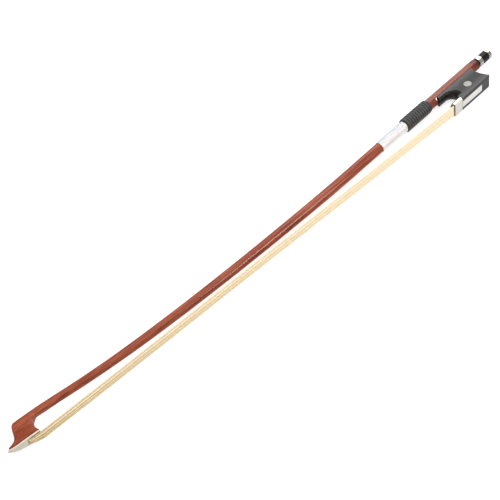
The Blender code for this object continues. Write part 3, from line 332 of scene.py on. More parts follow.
# %% The black wood
EBONY_GLOSS = {"oil_rubbed_ebony": 0.23, "lathe_turned_ebony": 0.06}
ebonies = {}
for name, gloss in EBONY_GLOSS.items():
    ebonies[name], tree, place = blank(name)
    # Ebony's pores are 0.05 to 0.1 mm wide: the streaks are drawn about ten times as wide, to be seen.
    along = node(tree, "ShaderNodeMapping", {"Vector": place}, vector_type="TEXTURE",
                 Scale=cells(14, 0.9, 0.9), Rotation=(0, 0, HANDLE_TILT))
    streaks = node(tree, "ShaderNodeTexNoise", {"Vector": along.outputs[0]}, Scale=1, Detail=5,
                   Roughness=0.6)
    grain = node(tree, "ShaderNodeValToRGB", {"Fac": streaks.outputs["Fac"]},
                 [(0.35, "#161415"), (0.6, "#221f1f"), (0.8, "#332b28")])
    rubbed = node(tree, "ShaderNodeMapping", {"Vector": place}, vector_type="TEXTURE",
                  Scale=cells(3.5, 1.2, 1.2))
    wipes = node(tree, "ShaderNodeTexNoise", {"Vector": rubbed.outputs[0]}, Scale=1, Detail=3)
    rough = node(tree, "ShaderNodeMapRange", {"Value": wipes.outputs["Fac"]}, From_Min=0.3,
                 From_Max=0.7, To_Min=0.29, To_Max=0.34)
    dents = node(tree, "ShaderNodeBump", {"Height": streaks.outputs["Fac"]}, Distance=0.012 * MM,
                 Strength=0.3)
    shader = node(tree, "ShaderNodeBsdfPrincipled",
                  {"Base Color": grain.outputs[0], "Roughness": rough.outputs[0],
                   "Normal": dents.outputs[0]}, Specular_IOR_Level=gloss)
    node(tree, "ShaderNodeOutputMaterial", {"Surface": shader.outputs[0]})
print("ebonies:", list(ebonies))

# %% [markdown]
# ## Stained veneer
#
# Between the head and its plate lies a strip of veneer stained brown-black. It is duller than ebony,
# and seen from a step away it only darkens the line where wood and plate meet. Its fibres, a tenth
# of a millimetre wide on the real strip, are drawn half a millimetre wide.

# %% The liner of the tip
veneer, tree, place = blank("stained_veneer")
along = node(tree, "ShaderNodeMapping", {"Vector": place}, vector_type="TEXTURE",
             Scale=cells(9, 0.5, 0.5))
fibres = node(tree, "ShaderNodeTexNoise", {"Vector": along.outputs[0]}, Scale=1, Detail=4)
stain = node(tree, "ShaderNodeValToRGB", {"Fac": fibres.outputs["Fac"]},
             [(0.35, "#2c1812"), (0.7, "#4a2b20")])
dents = node(tree, "ShaderNodeBump", {"Height": fibres.outputs["Fac"]}, Distance=0.02 * MM, Strength=0.3)
shader = node(tree, "ShaderNodeBsdfPrincipled",
              {"Base Color": stain.outputs[0], "Normal": dents.outputs[0]}, Roughness=0.5,
              Specular_IOR_Level=0.25)
node(tree, "ShaderNodeOutputMaterial", {"Surface": shader.outputs[0]})
print("nodes in the veneer:", len(tree.nodes))

# %% [markdown]
# ## White tip plate
#
# The plate that protects the head is a white facing, sawn, bent to the head's curve and polished.
# Light enters it a little before it comes back, so it looks soft. It has the faint long lines of the
# piece it was sawn from. Its face is painted a shaded grey-green, as painted shade, and its two long
# edges a warm white, as painted light.

# %% The plate of the tip
facing, tree, place = blank("polished_white_facing")
# Real lines are a few tenths of a millimetre apart: they are drawn 0.7 mm apart, to show.
along = node(tree, "ShaderNodeMapping", {"Vector": place}, vector_type="TEXTURE",
             Scale=cells(11, 0.7, 0.7))
lines = node(tree, "ShaderNodeTexNoise", {"Vector": along.outputs[0]}, Scale=1, Detail=3)
# The lines are the plate's own; their grey-green is painted shade of the face.
sawn = node(tree, "ShaderNodeValToRGB", {"Fac": lines.outputs["Fac"]},
            [(0.3, "#b3b39f"), (0.6, "#c2c3b1"), (0.85, "#cfd0c2")])
# The face looks along Y and the long edges along Z, so the normal picks the edges for painted light.
outward = node(tree, "ShaderNodeNewGeometry")
part = node(tree, "ShaderNodeSeparateXYZ", {"Vector": outward.outputs["Normal"]})
sideways = node(tree, "ShaderNodeMath", {0: part.outputs["Z"]}, operation="ABSOLUTE")
lit_edge = node(tree, "ShaderNodeMapRange", {"Value": sideways.outputs[0]}, From_Min=0.45, From_Max=0.8)
white = node(tree, "ShaderNodeMix", {0: lit_edge.outputs[0], 6: sawn.outputs[0], 7: linear("#f2d8c3")},
             data_type="RGBA")
rough = node(tree, "ShaderNodeMapRange", {"Value": lines.outputs["Fac"]}, To_Min=0.3, To_Max=0.45)
shader = node(tree, "ShaderNodeBsdfPrincipled",
              {"Base Color": white.outputs[2], "Roughness": rough.outputs[0]}, Specular_IOR_Level=0.3,
              Subsurface_Weight=0.15, Subsurface_Scale=0.4 * MM, Subsurface_Radius=(1.0, 0.6, 0.4))
node(tree, "ShaderNodeOutputMaterial", {"Surface": shader.outputs[0]})
print("nodes in the facing:", len(tree.nodes))

# %% [markdown]
# ## Mother of pearl
#
# Pearl is layer on layer of thin clear shell. Its colour drifts between warm white, cool grey and a
# trace of pink and green, in waves a few millimetres across. The eyes are cut from a greyer piece
# than the slide, and both are rubbed flat, so they shine softly.

# %% Pearl of the eyes and the slide
SHELL = {
    "grey_rubbed_shell": ["#727a73", "#969a94", "#a8a6a1", "#9c9294", "#b5b7b1"],
    "white_rubbed_shell": ["#b3b9b1", "#cdd0c9", "#dad8d2", "#cdc3c4", "#e4e6e0"],
}
shells = {}
for name, colours in SHELL.items():
    shells[name], tree, place = blank(name)
    # Growth waves 2 to 5 mm apart, as on real shell.
    turned = node(tree, "ShaderNodeMapping", {"Vector": place}, vector_type="TEXTURE",
                  Scale=cells(2.6, 4, 3.2), Rotation=(0, 0, 0.5))
    warp = node(tree, "ShaderNodeTexNoise", {"Vector": turned.outputs[0]}, Scale=1, Detail=3,
                Distortion=1.6)
    # A Wave repeats every 0.314 of a cell, so the layers, 0.5 mm apart on real shell, come every 1.4 mm.
    across = node(tree, "ShaderNodeMapping", {"Vector": place}, vector_type="TEXTURE",
                  Scale=cells(4.5, 9, 8), Rotation=(0, 0, 0.35))
    layers = node(tree, "ShaderNodeTexWave", {"Vector": across.outputs[0]}, Scale=1, Distortion=3,
                  Detail=2)
    half = node(tree, "ShaderNodeMapRange", {"Value": layers.outputs["Fac"]}, To_Min=-0.12, To_Max=0.12)
    both = node(tree, "ShaderNodeMath", {0: warp.outputs["Fac"], 1: half.outputs[0]}, operation="ADD")
    tint = node(tree, "ShaderNodeValToRGB", {"Fac": both.outputs[0]},
                list(zip((0.25, 0.4, 0.52, 0.64, 0.8), colours)))
    rough = node(tree, "ShaderNodeMapRange", {"Value": layers.outputs["Fac"]}, To_Min=0.24, To_Max=0.36)
    shader = node(tree, "ShaderNodeBsdfPrincipled",
                  {"Base Color": tint.outputs[0], "Roughness": rough.outputs[0]},
                  Specular_IOR_Level=0.25)
    node(tree, "ShaderNodeOutputMaterial", {"Surface": shader.outputs[0]})
print("shells:", list(shells))

# %% [markdown]
# ## Nickel silver, wire, steel and brass
#
# The ferrule is nickel silver, a white alloy of copper and nickel that is filed, then buffed. Buffing
# leaves lines finer than the eye resolves, which blur the reflections a little more here and less
# there. The button's rings are the same alloy, painted greyer as painted shade, and the liner in the
# frog's channel is rubbed matt by the stick. The winding is bright drawn wire. Inside are a turned
# steel screw and a cast brass eyelet, seen when the bow is opened up.

# %% The metals
# name: dark and light tone, least and most roughness, size of the marks in mm, their depth in mm.
# Real buffing and turning marks are a few hundredths of a millimetre wide, and are drawn about ten
# times as wide. The wire's and the brass's are the slow unevenness of handling and of casting.
METALS = {
    "buffed_nickel_silver": ("#bebcb8", "#cac8c4", 0.2, 0.27, (7, 0.3, 7), 0.0015),
    # The button's rings: the ferrule's alloy, darkened as painted shade.
    "filed_button_silver": ("#95938f", "#a5a39f", 0.2, 0.27, (7, 0.3, 7), 0.0015),
    "worn_channel_silver": ("#e4d8c8", "#f6eee2", 0.4, 0.5, (7, 0.3, 7), 0.0015),
    "drawn_bright_wire": ("#dfe2e6", "#e8ebef", 0.54, 0.6, (2.0, 1.5, 1.5), 0.001),
    "turned_steel": ("#8f9193", "#b3b5b6", 0.25, 0.4, (0.25, 3, 3), 0.006),
    "cast_brass": ("#b08a3c", "#cda553", 0.3, 0.5, (1.4, 1.4, 1.4), 0.01),
}
metals = {}
for name, (dark, light, low, high, size, depth) in METALS.items():
    metals[name], tree, place = blank(name)
    along = node(tree, "ShaderNodeMapping", {"Vector": place}, vector_type="TEXTURE",
                 Scale=cells(*size), Rotation=(0, 0, HANDLE_TILT))
    marks = node(tree, "ShaderNodeTexNoise", {"Vector": along.outputs[0]}, Scale=1, Detail=4,
                 Roughness=0.6)
    tint = node(tree, "ShaderNodeValToRGB", {"Fac": marks.outputs["Fac"]}, [(0.35, dark), (0.65, light)])
    rough = node(tree, "ShaderNodeMapRange", {"Value": marks.outputs["Fac"]}, From_Min=0.3,
                 From_Max=0.7, To_Min=low, To_Max=high)
    dents = node(tree, "ShaderNodeBump", {"Height": marks.outputs["Fac"]}, Distance=depth * MM,
                 Strength=0.4)
    shader = node(tree, "ShaderNodeBsdfPrincipled",
                  {"Base Color": tint.outputs[0], "Roughness": rough.outputs[0],
                   "Normal": dents.outputs[0]}, Metallic=1)
    node(tree, "ShaderNodeOutputMaterial", {"Surface": shader.outputs[0]})
print("metals:", list(metals))

# %% [markdown]
# ## Horsehair
#
# Bleached white horsehair is not quite white: it is the colour of pale straw, some locks warmer than
# others. Each hair is a smooth tube, and fine darker lines between the hairs are painted shade.
# The tint of each lock is kept on its points and read by the material.

# %% The hair
horsehair, tree, place = blank("bleached_horsehair")
tint = node(tree, "ShaderNodeAttribute", attribute_name="lock_tint")
straw = node(tree, "ShaderNodeValToRGB", {"Fac": tint.outputs["Fac"]},
             [(0.0, "#6e6040"), (0.25, "#b3a070"), (0.5, "#dcc69c"), (0.75, "#f6e6c6"),
              (1.0, "#fff6e4")])
# A hair is 0.18 mm thick: the painted shade lines between hairs are 0.2 mm wide, and run for 17 mm.
along = node(tree, "ShaderNodeMapping", {"Vector": place}, vector_type="TEXTURE",
             Scale=cells(17, 1.1, 0.2))
fine = node(tree, "ShaderNodeTexNoise", {"Vector": along.outputs[0]}, Scale=1, Detail=3)
shade = node(tree, "ShaderNodeValToRGB", {"Fac": fine.outputs["Fac"]},
             [(0.3, "#e4d8c0"), (0.6, "#ffffff")])
# Painted shade: the fine lines darken the straw tint.
tint_with_shade = node(tree, "ShaderNodeMix", {6: straw.outputs[0], 7: shade.outputs[0]}, data_type="RGBA",
            blend_type="MULTIPLY", Factor=0.25)
dents = node(tree, "ShaderNodeBump", {"Height": fine.outputs["Fac"]}, Distance=0.02 * MM, Strength=0.15)
shader = node(tree, "ShaderNodeBsdfPrincipled",
              {"Base Color": tint_with_shade.outputs[2], "Normal": dents.outputs[0]}, Roughness=0.55,
              Specular_IOR_Level=0.2)
node(tree, "ShaderNodeOutputMaterial", {"Surface": shader.outputs[0]})
print("nodes in the horsehair:", len(tree.nodes))

# %% [markdown]
# ## Black leather
#
# The thumb leather is thin goatskin, dyed black and rubbed smooth by the hand. It is matt, with a
# pebble grain under half a millimetre across. The hand wears it greyer in patches, and its ribs are
# painted lighter on their crests and darker in their valleys, as painted light and shade, so the
# ribs' height is kept on the leather's points and read by the colour.

# %% The leather of the grip
leather, tree, place = blank("dyed_goatskin")
# One cell is one pebble of the grain; the wear is in patches a few millimetres across.
pebble = node(tree, "ShaderNodeMapping", {"Vector": place}, vector_type="TEXTURE",
              Scale=cells(0.48, 0.48, 0.48))
grain = node(tree, "ShaderNodeTexVoronoi", {"Vector": pebble.outputs[0]}, Scale=1, feature="SMOOTH_F1")
broad = node(tree, "ShaderNodeMapping", {"Vector": place}, vector_type="TEXTURE",
             Scale=cells(3.8, 3.8, 3.8))
wear = node(tree, "ShaderNodeTexNoise", {"Vector": broad.outputs[0]}, Scale=1, Detail=4)
uneven = node(tree, "ShaderNodeMapRange", {"Value": wear.outputs["Fac"]}, From_Min=0.3, From_Max=0.7,
              To_Min=0.82)
# Painted light and shade of the ribs: the crests lighter, the valleys darker, times the real wear.
height = node(tree, "ShaderNodeAttribute", attribute_name="rib_height")
wear_and_rib_shade = node(tree, "ShaderNodeMath", {0: uneven.outputs[0], 1: height.outputs["Fac"]}, operation="MULTIPLY")
dye_and_shade = node(tree, "ShaderNodeValToRGB", {"Fac": wear_and_rib_shade.outputs[0]},
           [(0.1, "#151416"), (0.45, "#262527"), (0.75, "#3a393a"), (1.0, "#515052")])
rough = node(tree, "ShaderNodeMapRange", {"Value": wear.outputs["Fac"]}, From_Min=0.3, From_Max=0.7,
             To_Min=0.62, To_Max=0.46)
dents = node(tree, "ShaderNodeBump", {"Height": grain.outputs["Distance"]}, Distance=0.06 * MM,
             Strength=0.6)
shader = node(tree, "ShaderNodeBsdfPrincipled",
              {"Base Color": dye_and_shade.outputs[0], "Roughness": rough.outputs[0], "Normal": dents.outputs[0]},
              Specular_IOR_Level=0.35)
node(tree, "ShaderNodeOutputMaterial", {"Surface": shader.outputs[0]})
print("nodes in the leather:", len(tree.nodes))

# %% [markdown]
# ## Plain wood and bound hair inside
#
# The wedge and the two plugs are cut from soft pale wood and never varnished: it shows its yearly
# rings, half a millimetre apart. The ends of the hair are tied with waxed thread, 0.4 mm thick, and
# burnt, and they sit in the mortises.

# %% The pieces inside
softwood, tree, place = blank("pared_softwood")
along = node(tree, "ShaderNodeMapping", {"Vector": place}, vector_type="TEXTURE",
             Scale=cells(8, 0.55, 0.55))
rings = node(tree, "ShaderNodeTexNoise", {"Vector": along.outputs[0]}, Scale=1, Detail=4)
tint = node(tree, "ShaderNodeValToRGB", {"Fac": rings.outputs["Fac"]},
            [(0.3, "#b9935f"), (0.7, "#dcbf92")])
dents = node(tree, "ShaderNodeBump", {"Height": rings.outputs["Fac"]}, Distance=0.05 * MM, Strength=0.4)
shader = node(tree, "ShaderNodeBsdfPrincipled",
              {"Base Color": tint.outputs[0], "Normal": dents.outputs[0]}, Roughness=0.75)
node(tree, "ShaderNodeOutputMaterial", {"Surface": shader.outputs[0]})

thread, tree, place = blank("waxed_thread")
# A Wave repeats every 0.314 of a cell: cells of 1.3 mm lay the turns 0.4 mm apart.
wound = node(tree, "ShaderNodeMapping", {"Vector": place}, vector_type="TEXTURE",
             Scale=cells(1.3, 1.3, 1.3))
turns = node(tree, "ShaderNodeTexWave", {"Vector": wound.outputs[0]}, Scale=1, bands_direction="Z")
# Painted shade: the thread is darker in the valleys between its turns.
tint = node(tree, "ShaderNodeValToRGB", {"Fac": turns.outputs["Fac"]},
            [(0.2, "#9c7d4f"), (0.8, "#dcc696")])
dents = node(tree, "ShaderNodeBump", {"Height": turns.outputs["Fac"]}, Distance=0.08 * MM, Strength=0.7)
shader = node(tree, "ShaderNodeBsdfPrincipled",
              {"Base Color": tint.outputs[0], "Normal": dents.outputs[0]}, Roughness=0.6)
node(tree, "ShaderNodeOutputMaterial", {"Surface": shader.outputs[0]})
print("inside finishes:", softwood.name, thread.name)

# %% [markdown]
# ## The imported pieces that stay
#
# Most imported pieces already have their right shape, so they only need a finish: it takes the place
# of the plain material that they came with. The hair, the wire, the leather and the button are too
# plain as they were packed, and each is made anew further down.

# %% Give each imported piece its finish
ebony = ebonies["oil_rubbed_ebony"]
grey_shell, white_shell = shells["grey_rubbed_shell"], shells["white_rubbed_shell"]
steel, brass = metals["turned_steel"], metals["cast_brass"]
FINISHES = {
    "stick": wood, "tip_liner": veneer, "tip_plate": facing, "tip_plug": softwood, "tip_knot": thread,
    "frog": ebony, "frog_liner": metals["worn_channel_silver"], "liner_pin_front": steel,
    "liner_pin_rear": steel, "frog_eye_left": grey_shell, "frog_eye_right": grey_shell,
    "slide_base": ebony, "slide_pearl": white_shell, "ferrule": metals["buffed_nickel_silver"],
    "ferrule_wedge": softwood, "frog_plug": softwood, "frog_knot": thread, "eyelet": brass,
    "screw": steel,
}
for name, material in FINISHES.items():
    nodes[name].data.materials.clear()
    nodes[name].data.materials.append(material)
print("packed pieces with a finish:", len(FINISHES))

# %% [markdown]
# ## The hair, lock by lock
#
# A bow of this size holds about ninety hairs, a fifth of a millimetre thick, side by side and a few
# deep. Drawn so thin they would hardly show and would leave gaps, so here the ribbon is four layers
# of strands 0.27 mm thick, 132 in all. Each is a thin tube that leaves the mortise in the head,
# spreads into the flat ribbon, and enters the ferrule. The strands wander a little across the ribbon,
# as combed hair does, and no two have quite the same tint. A solid core under them keeps light from
# leaking through. First comes the path of the ribbon's middle, a smooth curve through a few stations.

# %% Where the ribbon runs
PLATE_REAR = 24.0
MORTISE_FRONT = 13.7
MORTISE_REAR = 20.6
THICK = 0.95


def plate_low(x):
    """Height of the plate's lower face, which slopes down to its rear end."""
    return 1.35 + 0.14 * (PLATE_REAR - x)


# The last two stations lie this far inside the ferrule, along the handle.
inside = np.array([0.2, 5.0])
inner_x = inside * math.cos(HANDLE_TILT) - 0.5 * math.sin(HANDLE_TILT) + FERRULE_X
inner_y = inside * math.sin(HANDLE_TILT) + 0.55
# Stations of the ribbon's middle: along, height, half width and thickness, in the plan.
ribbon = np.array([
    (14.35, plate_low(MORTISE_FRONT) + 2.0, 2.5, 0.50),
    (14.35, plate_low(MORTISE_FRONT) + 0.9, 2.5, 0.52),
    (14.60, plate_low(MORTISE_FRONT) + 0.30, 2.5, 0.60),
    (15.40, plate_low(MORTISE_FRONT) - 0.28, 2.55, 0.74),
    (MORTISE_REAR, plate_low(MORTISE_REAR) - 0.78, 3.5, 0.92),
    (PLATE_REAR, 0.52, 4.1, THICK),
    (30.0, 0.48, 4.15, THICK),
    (200.0, 0.475, 4.5, THICK),
    (400.0, 0.475, 5.35, THICK),
    (inner_x[0], inner_y[0], 5.5, 0.92),
    (inner_x[1], inner_y[1], 5.4, 0.9),
])
BEND_END, MOUTH = 6, 9  # the stations where the bend out of the head ends, and at the ferrule's mouth
print("stations:", len(ribbon), "- free hair", round(FERRULE_X - PLATE_REAR), "mm")

# %% A smooth path through the stations


def smooth_path(stations, count):
    """Rows along the stations, each column run through a smooth cubic, closer at the bend and mouth.

    With t from 0 to 1 between two stations, a value is (2t^3 - 3t^2 + 1) times the first station's
    plus (3t^2 - 2t^3) times the second's, plus (t^3 - 2t^2 + t) and (t^3 - t^2) times their slopes.
    """
    step = np.hypot(*np.diff(stations[:, :2], axis=0).T)
    length = np.concatenate([[0], np.cumsum(step)])
    rows = np.unique(np.concatenate([np.linspace(0, length[-1], count),
                                     np.linspace(0, length[BEND_END], count // 2),
                                     np.linspace(length[MOUTH] - 2.5, length[MOUTH] + 0.5, 7)]))
    slopes = np.gradient(stations, length, axis=0)
    i = np.clip(np.searchsorted(length, rows) - 1, 0, len(length) - 2)
    gap = (length[i + 1] - length[i])[:, None]
    t = (rows - length[i])[:, None] / gap
    values = (2 * t**3 - 3 * t**2 + 1) * stations[i] + (3 * t**2 - 2 * t**3) * stations[i + 1]
    return values + ((t**3 - 2 * t**2 + t) * slopes[i] + (t**3 - t**2) * slopes[i + 1]) * gap


def beside_path(lift, side):
    """Places beside the ribbon's middle, by arrays that end in (rows of the path, sides), in mm.

    Each is the path's point plus lift times the path's normal in the plan, and side across the bow.
    """
    x = path[:, 0, None] - tangent[:, 1, None] * lift
    y = path[:, 1, None] + tangent[:, 0, None] * lift
    return from_plan(x, y, side)


path = smooth_path(ribbon, 40)
tangent = np.gradient(path[:, :2], axis=0)
tangent /= np.linalg.norm(tangent, axis=1)[:, None]
print("rows along the ribbon:", len(path), "- widest", round(2 * path[:, 2].max(), 2), "mm")

# %% One mesh of strands
rng = np.random.default_rng(7)
STRAND_SIDES = 6
STRAND_RADIUS = 0.135
PRESSED = 0.62  # the share of that radius in the mortise, where the hair is pressed together
EDGE = 0.93  # the outermost strands, as a share of the ribbon's half width
LAYERS = ((0.36, 34), (0.12, 31), (-0.12, 33), (-0.36, 34))  # height as a share, number of strands
WANDERS = ((1.3, 0.016), (3.1, 0.010))  # waves along the ribbon, reach as a share of the half width


def strand_layers():
    """Places and girths of all strands: (strands, rows) across and up, as shares of the ribbon.

    A strand starts at an even place across its layer, and wanders by two slow sines along its way,
    which fade towards both ends. Small random shifts keep the strands from lining up, and their
    girths differ by up to 15 percent.
    """
    across, up, girth = [], [], []
    share = np.linspace(0, 1, len(path))
    for height, count in LAYERS:
        start = np.linspace(-EDGE, EDGE, count) + rng.normal(0, 0.008, count)
        phases = rng.uniform(0, 2 * math.pi, (len(WANDERS), count, 1))
        wander = sum(reach * np.sin(2 * math.pi * share * waves + phase)
                     for (waves, reach), phase in zip(WANDERS, phases))
        across.append(start[:, None] + wander * np.sin(math.pi * share) ** 0.5)
        up.append(np.full((count, len(path)), height) + rng.normal(0, 0.03, (count, 1)))
        girth.append(rng.uniform(0.85, 1.15, count))
    return np.vstack(across), np.vstack(up), np.concatenate(girth)


across, up, girth = strand_layers()
radius = STRAND_RADIUS * girth[:, None] * np.interp(path[:, 3], [0.5, THICK], [PRESSED, 1.0])
angle = np.arange(STRAND_SIDES) * 2 * math.pi / STRAND_SIDES
rim_lift = (up * path[:, 3])[..., None] + radius[..., None] * np.cos(angle)
rim_side = (across * path[:, 2])[..., None] + radius[..., None] * np.sin(angle)
hair = surface("hair_strands", beside_path(rim_lift, rim_side), horsehair, smooth=80)
print("strands:", len(girth), "- triangles about", len(girth) * len(path) * STRAND_SIDES * 2)

# %% [markdown]
# Neighbouring hairs lie together in locks. Near the head the ribbon is narrow, the locks are pressed
# one over another, and the streaks between them are strong. Towards the frog they fan out and the
# ribbon is lighter and more even.

# %% Tint the locks
LOCK_PLACES = np.array([-1.0, -0.7, -0.42, -0.15, 0.1, 0.32, 0.55, 0.78, 1.0])
LOCK_TINTS = np.array([0.42, 0.62, 0.34, 0.72, 0.28, 0.62, 0.8, 0.45, 0.6])
MIDDLE_TINT = 0.54


def lock_tint(across, x):
    """Tint from 0, brown, to 1, cream, at a share across the ribbon and a place along it in mm.

    It is a mean that rises along the ribbon, from 0.46 to 0.82, plus how far the lock's own tint is
    from the middle one, times a contrast that falls from 1.35 to 0.35. It drops in the last 1.3 mm
    before the ferrule: painted shadow of the ferrule's mouth.
    """
    along = np.clip((x - PLATE_REAR) / (FERRULE_X - PLATE_REAR), 0, 1)
    mean = 0.46 + 0.36 * along**0.5
    contrast = 1.35 - 1.0 * along
    # Painted shadow of the ferrule's mouth on the last 1.3 mm of hair.
    mouth_shadow = 0.9 * np.clip(x - FERRULE_X + 1.3, 0, 1)
    return mean + contrast * (np.interp(across, LOCK_PLACES, LOCK_TINTS) - MIDDLE_TINT) - mouth_shadow


tints = lock_tint(across, path[:, 0]) + rng.normal(0, 0.035, (len(girth), 1))
keep_on_points(hair, "lock_tint", np.repeat(np.clip(tints, 0, 1), STRAND_SIDES))
print("tint of the strands from", round(float(tints.min()), 2), "to", round(float(tints.max()), 2))

# %% The core under the strands
# Its rim is a flat hexagon, in shares of the ribbon's half width and of its thickness.
core_side = np.array([-EDGE, -0.8, 0.8, EDGE, 0.8, -0.8])
core_lift = np.array([0.0, 0.36, 0.36, 0.0, -0.36, -0.36])
core = surface("hair_core", beside_path(core_lift * path[:, 3, None], core_side * path[:, 2, None]),
               horsehair, smooth=80)
keep_on_points(core, "lock_tint", np.full(len(core.data.vertices), 0.6))

# The frog slides when the bow is tightened; here the strands and the core stay on no body, their place
# baked into their points.
for piece in (hair, core):
    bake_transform(piece)
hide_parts("hair_ribbon")

# %% [markdown]
# ## The wire lapping
#
# Ahead of the leather the stick is wound with bright wire, turn against turn, for grip and to adjust
# the balance. A helix is a circle whose centre moves along as it turns. Real turns touch, so the pitch
# is just over the wire's own thickness, and the winding reads as a silver band with fine ribs. Real
# wire is 0.25 to 0.3 mm thick; here it is 0.5 mm, so that the ribs show.

# %% Wind the wire
LAPPING_FRONT = -65.3
LEATHER_FRONT = -36.6
WIRE = 0.5
PITCH = 0.52
BARE_STICK = 8.05 / 2
WOUND_RADIUS = BARE_STICK + WIRE / 2 + 0.01  # from the handle's axis to the wire's middle


def round_handle(x, r, a):
    """Places at x along the handle and r from its axis, in the direction of angle a.

    The height is that of the axis plus r cos a, and the place across the bow is r sin a.
    """
    return along_handle(x, AXIS_HEIGHT + r * np.cos(a), r * np.sin(a))


def wound_wire(start, end, steps_per_turn=24, sides=6):
    """A tube (rings, sides) along a helix that starts and ends at these places along the handle.

    At angle a its centre is PITCH times a / 2 pi past the start, and WOUND_RADIUS from the axis, and
    its rim is a small circle round that centre.
    """
    turns = (end - start) / PITCH
    a = np.linspace(0, turns * 2 * math.pi, int(turns * steps_per_turn))[:, None]
    rim = np.arange(sides) * 2 * math.pi / sides
    x = start + PITCH * a / (2 * math.pi) + WIRE / 2 * np.sin(rim)
    return round_handle(x, WOUND_RADIUS + WIRE / 2 * np.cos(rim), a)


# The first turn lies just inside the lapping's front, and the last one meets the leather.
wire_start, wire_end = LAPPING_FRONT + 0.3, LEATHER_FRONT - 0.1
winding = surface("wound_wire", wound_wire(wire_start, wire_end), metals["drawn_bright_wire"], smooth=80)
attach(winding, "stick")
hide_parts("wire_lapping")
print("turns of wire:", round((wire_end - wire_start) / PITCH, 1))

# %% [markdown]
# ## The thumb leather
#
# A strip of leather is glued round the handle with its edges pared thin, and meets itself in a seam
# on the far side. Its ends are rubbed down to a rounded shoulder. The eight sides of the handle show
# through it faintly, and it has ribs across, round on top with sharp valleys, where it was rubbed
# down over a cord wound below. In the photograph they are 2.3 mm apart.

# %% Wrap the leather
LEATHER_REAR = -8.3
GRIP_RADIUS = 11.45 / 2
BORE = (4.32, 4.6)  # radius at the front and at the rear
RIB = 2.3
RIB_DEPTH = 0.22
SWELL = 0.08  # how far the handle's eight sides show through, in mm
SEAM_ANGLE, SEAM_WIDTH, SEAM_DEPTH = 4.3, 0.035, 0.14  # radians, radians, mm
FRONT_SHOULDER = (0.7, 0.7)  # length and depth in mm
REAR_SHOULDER = (3.2, 1.3)


def shoulder(distance, length, depth):
    """How far a rounded end has fallen below its top, at a distance from where it stops.

    With share the distance over the length, it is depth times (1 - sqrt(1 - (1 - share)^2)), which is
    a quarter of an ellipse.
    """
    share = np.clip(distance / length, 0, 1)
    return depth * (1 - np.sqrt(1 - (1 - share) ** 2))


def wrapped_leather(count=240, sides=96):
    """The points of a closed sleeve, out along the outside and back along the bore, and rib heights.

    The outer radius is the grip's own, less a shoulder at both ends, less a small cosine with eight
    valleys, less a seam, which is a narrow bell-shaped valley at one angle, less the ribs. Their
    height is the size of a cosine that repeats every two ribs, a little uneven round the grip.
    """
    x = np.linspace(LEATHER_FRONT, LEATHER_REAR, count)[:, None]
    a = np.arange(sides) * 2 * math.pi / sides
    ends = shoulder(x - LEATHER_FRONT, *FRONT_SHOULDER) + shoulder(LEATHER_REAR - x, *REAR_SHOULDER)
    octagon_valleys = SWELL * (1 - np.cos(8 * a))
    seam = SEAM_DEPTH * np.exp(-((a - SEAM_ANGLE) / SEAM_WIDTH) ** 2)
    turn = 2 * math.pi * x / RIB + 0.5 * np.sin(a + 0.7) + 0.25 * np.sin(3 * a)
    height = np.abs(np.cos(turn / 2))
    r = GRIP_RADIUS - ends - octagon_valleys - seam - RIB_DEPTH * (1 - height)
    outer = round_handle(x, r, a)
    # The bore is plain, so every twelfth ring is enough.
    back = slice(None, None, -12)
    inner = round_handle(x[back], np.linspace(*BORE, count)[back, None], a)
    return np.vstack([outer, inner]), np.vstack([height, np.ones_like(inner[..., 0])])


leather_points, rib_height = wrapped_leather()
grip = surface("wrapped_leather", leather_points, leather, closed_along=True, smooth=60)
keep_on_points(grip, "rib_height", rib_height)
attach(grip, "stick")
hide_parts("thumb_leather")
print("leather:", round(LEATHER_REAR - LEATHER_FRONT, 1), "mm long, ribs:",
      round((LEATHER_REAR - LEATHER_FRONT) / RIB, 1))

# %% [markdown]
# ## The button
#
# The button turns the screw. It is a short octagonal rod of ebony between two rings of nickel
# silver, all filed together, with a fine bevel where each ring ends. The last ring is closed by a
# face with a shallow dish. A profile is carried round an octagon whose corners are slightly rounded.

# %% An octagon from a profile
BUTTON_HALF = 4.1
BUTTON_SIDES = 192
CORNER_CUT = 0.06 * 0.18  # the share by which a corner is drawn in


def octagon(a, half):
    """Distance to an octagon's side at angle a, for flats at this half width from the middle.

    It is half / cos(angle from the middle of the nearest flat), drawn in close to a corner.
    """
    from_flat = a - np.round(a / (math.pi / 4)) * math.pi / 4
    to_corner = np.abs(from_flat) / (math.pi / 8)
    return half / np.cos(from_flat) * (1 - CORNER_CUT * to_corner**24)


def button_piece(name, profile, finish, stands_for, closed_along=True):
    """A piece of the button from a profile of (place along the handle, half width, roundness) rows.

    A row's distance at each angle is roundness times a circle's plus the rest times an octagon's.
    """
    a = np.arange(BUTTON_SIDES) * 2 * math.pi / BUTTON_SIDES
    x, half, roundness = np.array(profile, float).T[..., None]
    r = (1 - roundness) * octagon(a, half) + roundness * half
    made = surface(name, round_handle(x, r, a), finish, closed_along=closed_along, smooth=25)
    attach(made, "screw")
    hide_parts(stands_for)
    return made


print("the button across its corners:", round(2 * float(octagon(math.pi / 8, BUTTON_HALF)), 2), "mm")

# %% Turn and file the button
COLLAR_FRONT = 52.2
CORE_FRONT = 56.3
CAP_FRONT = 63.2
BUTTON_END = 66.6
BEVEL, FINE = 0.28, 0.12  # the wide bevel at the outer ends, and the fine one beside the ebony
GAP = 0.08  # between each ring and the ebony, a dark line
RING_BORE = 3.2
# The ebony is filed a little below the rings, and its ends are spigots inside them.
EBONY_HALF, EBONY_EDGE = BUTTON_HALF - 0.1, BUTTON_HALF - 0.18
SPIGOT, SCREW_HOLE = 2.95, 1.7
SPIGOT_START, SPIGOT_END = CORE_FRONT - 3, CAP_FRONT + 1.9
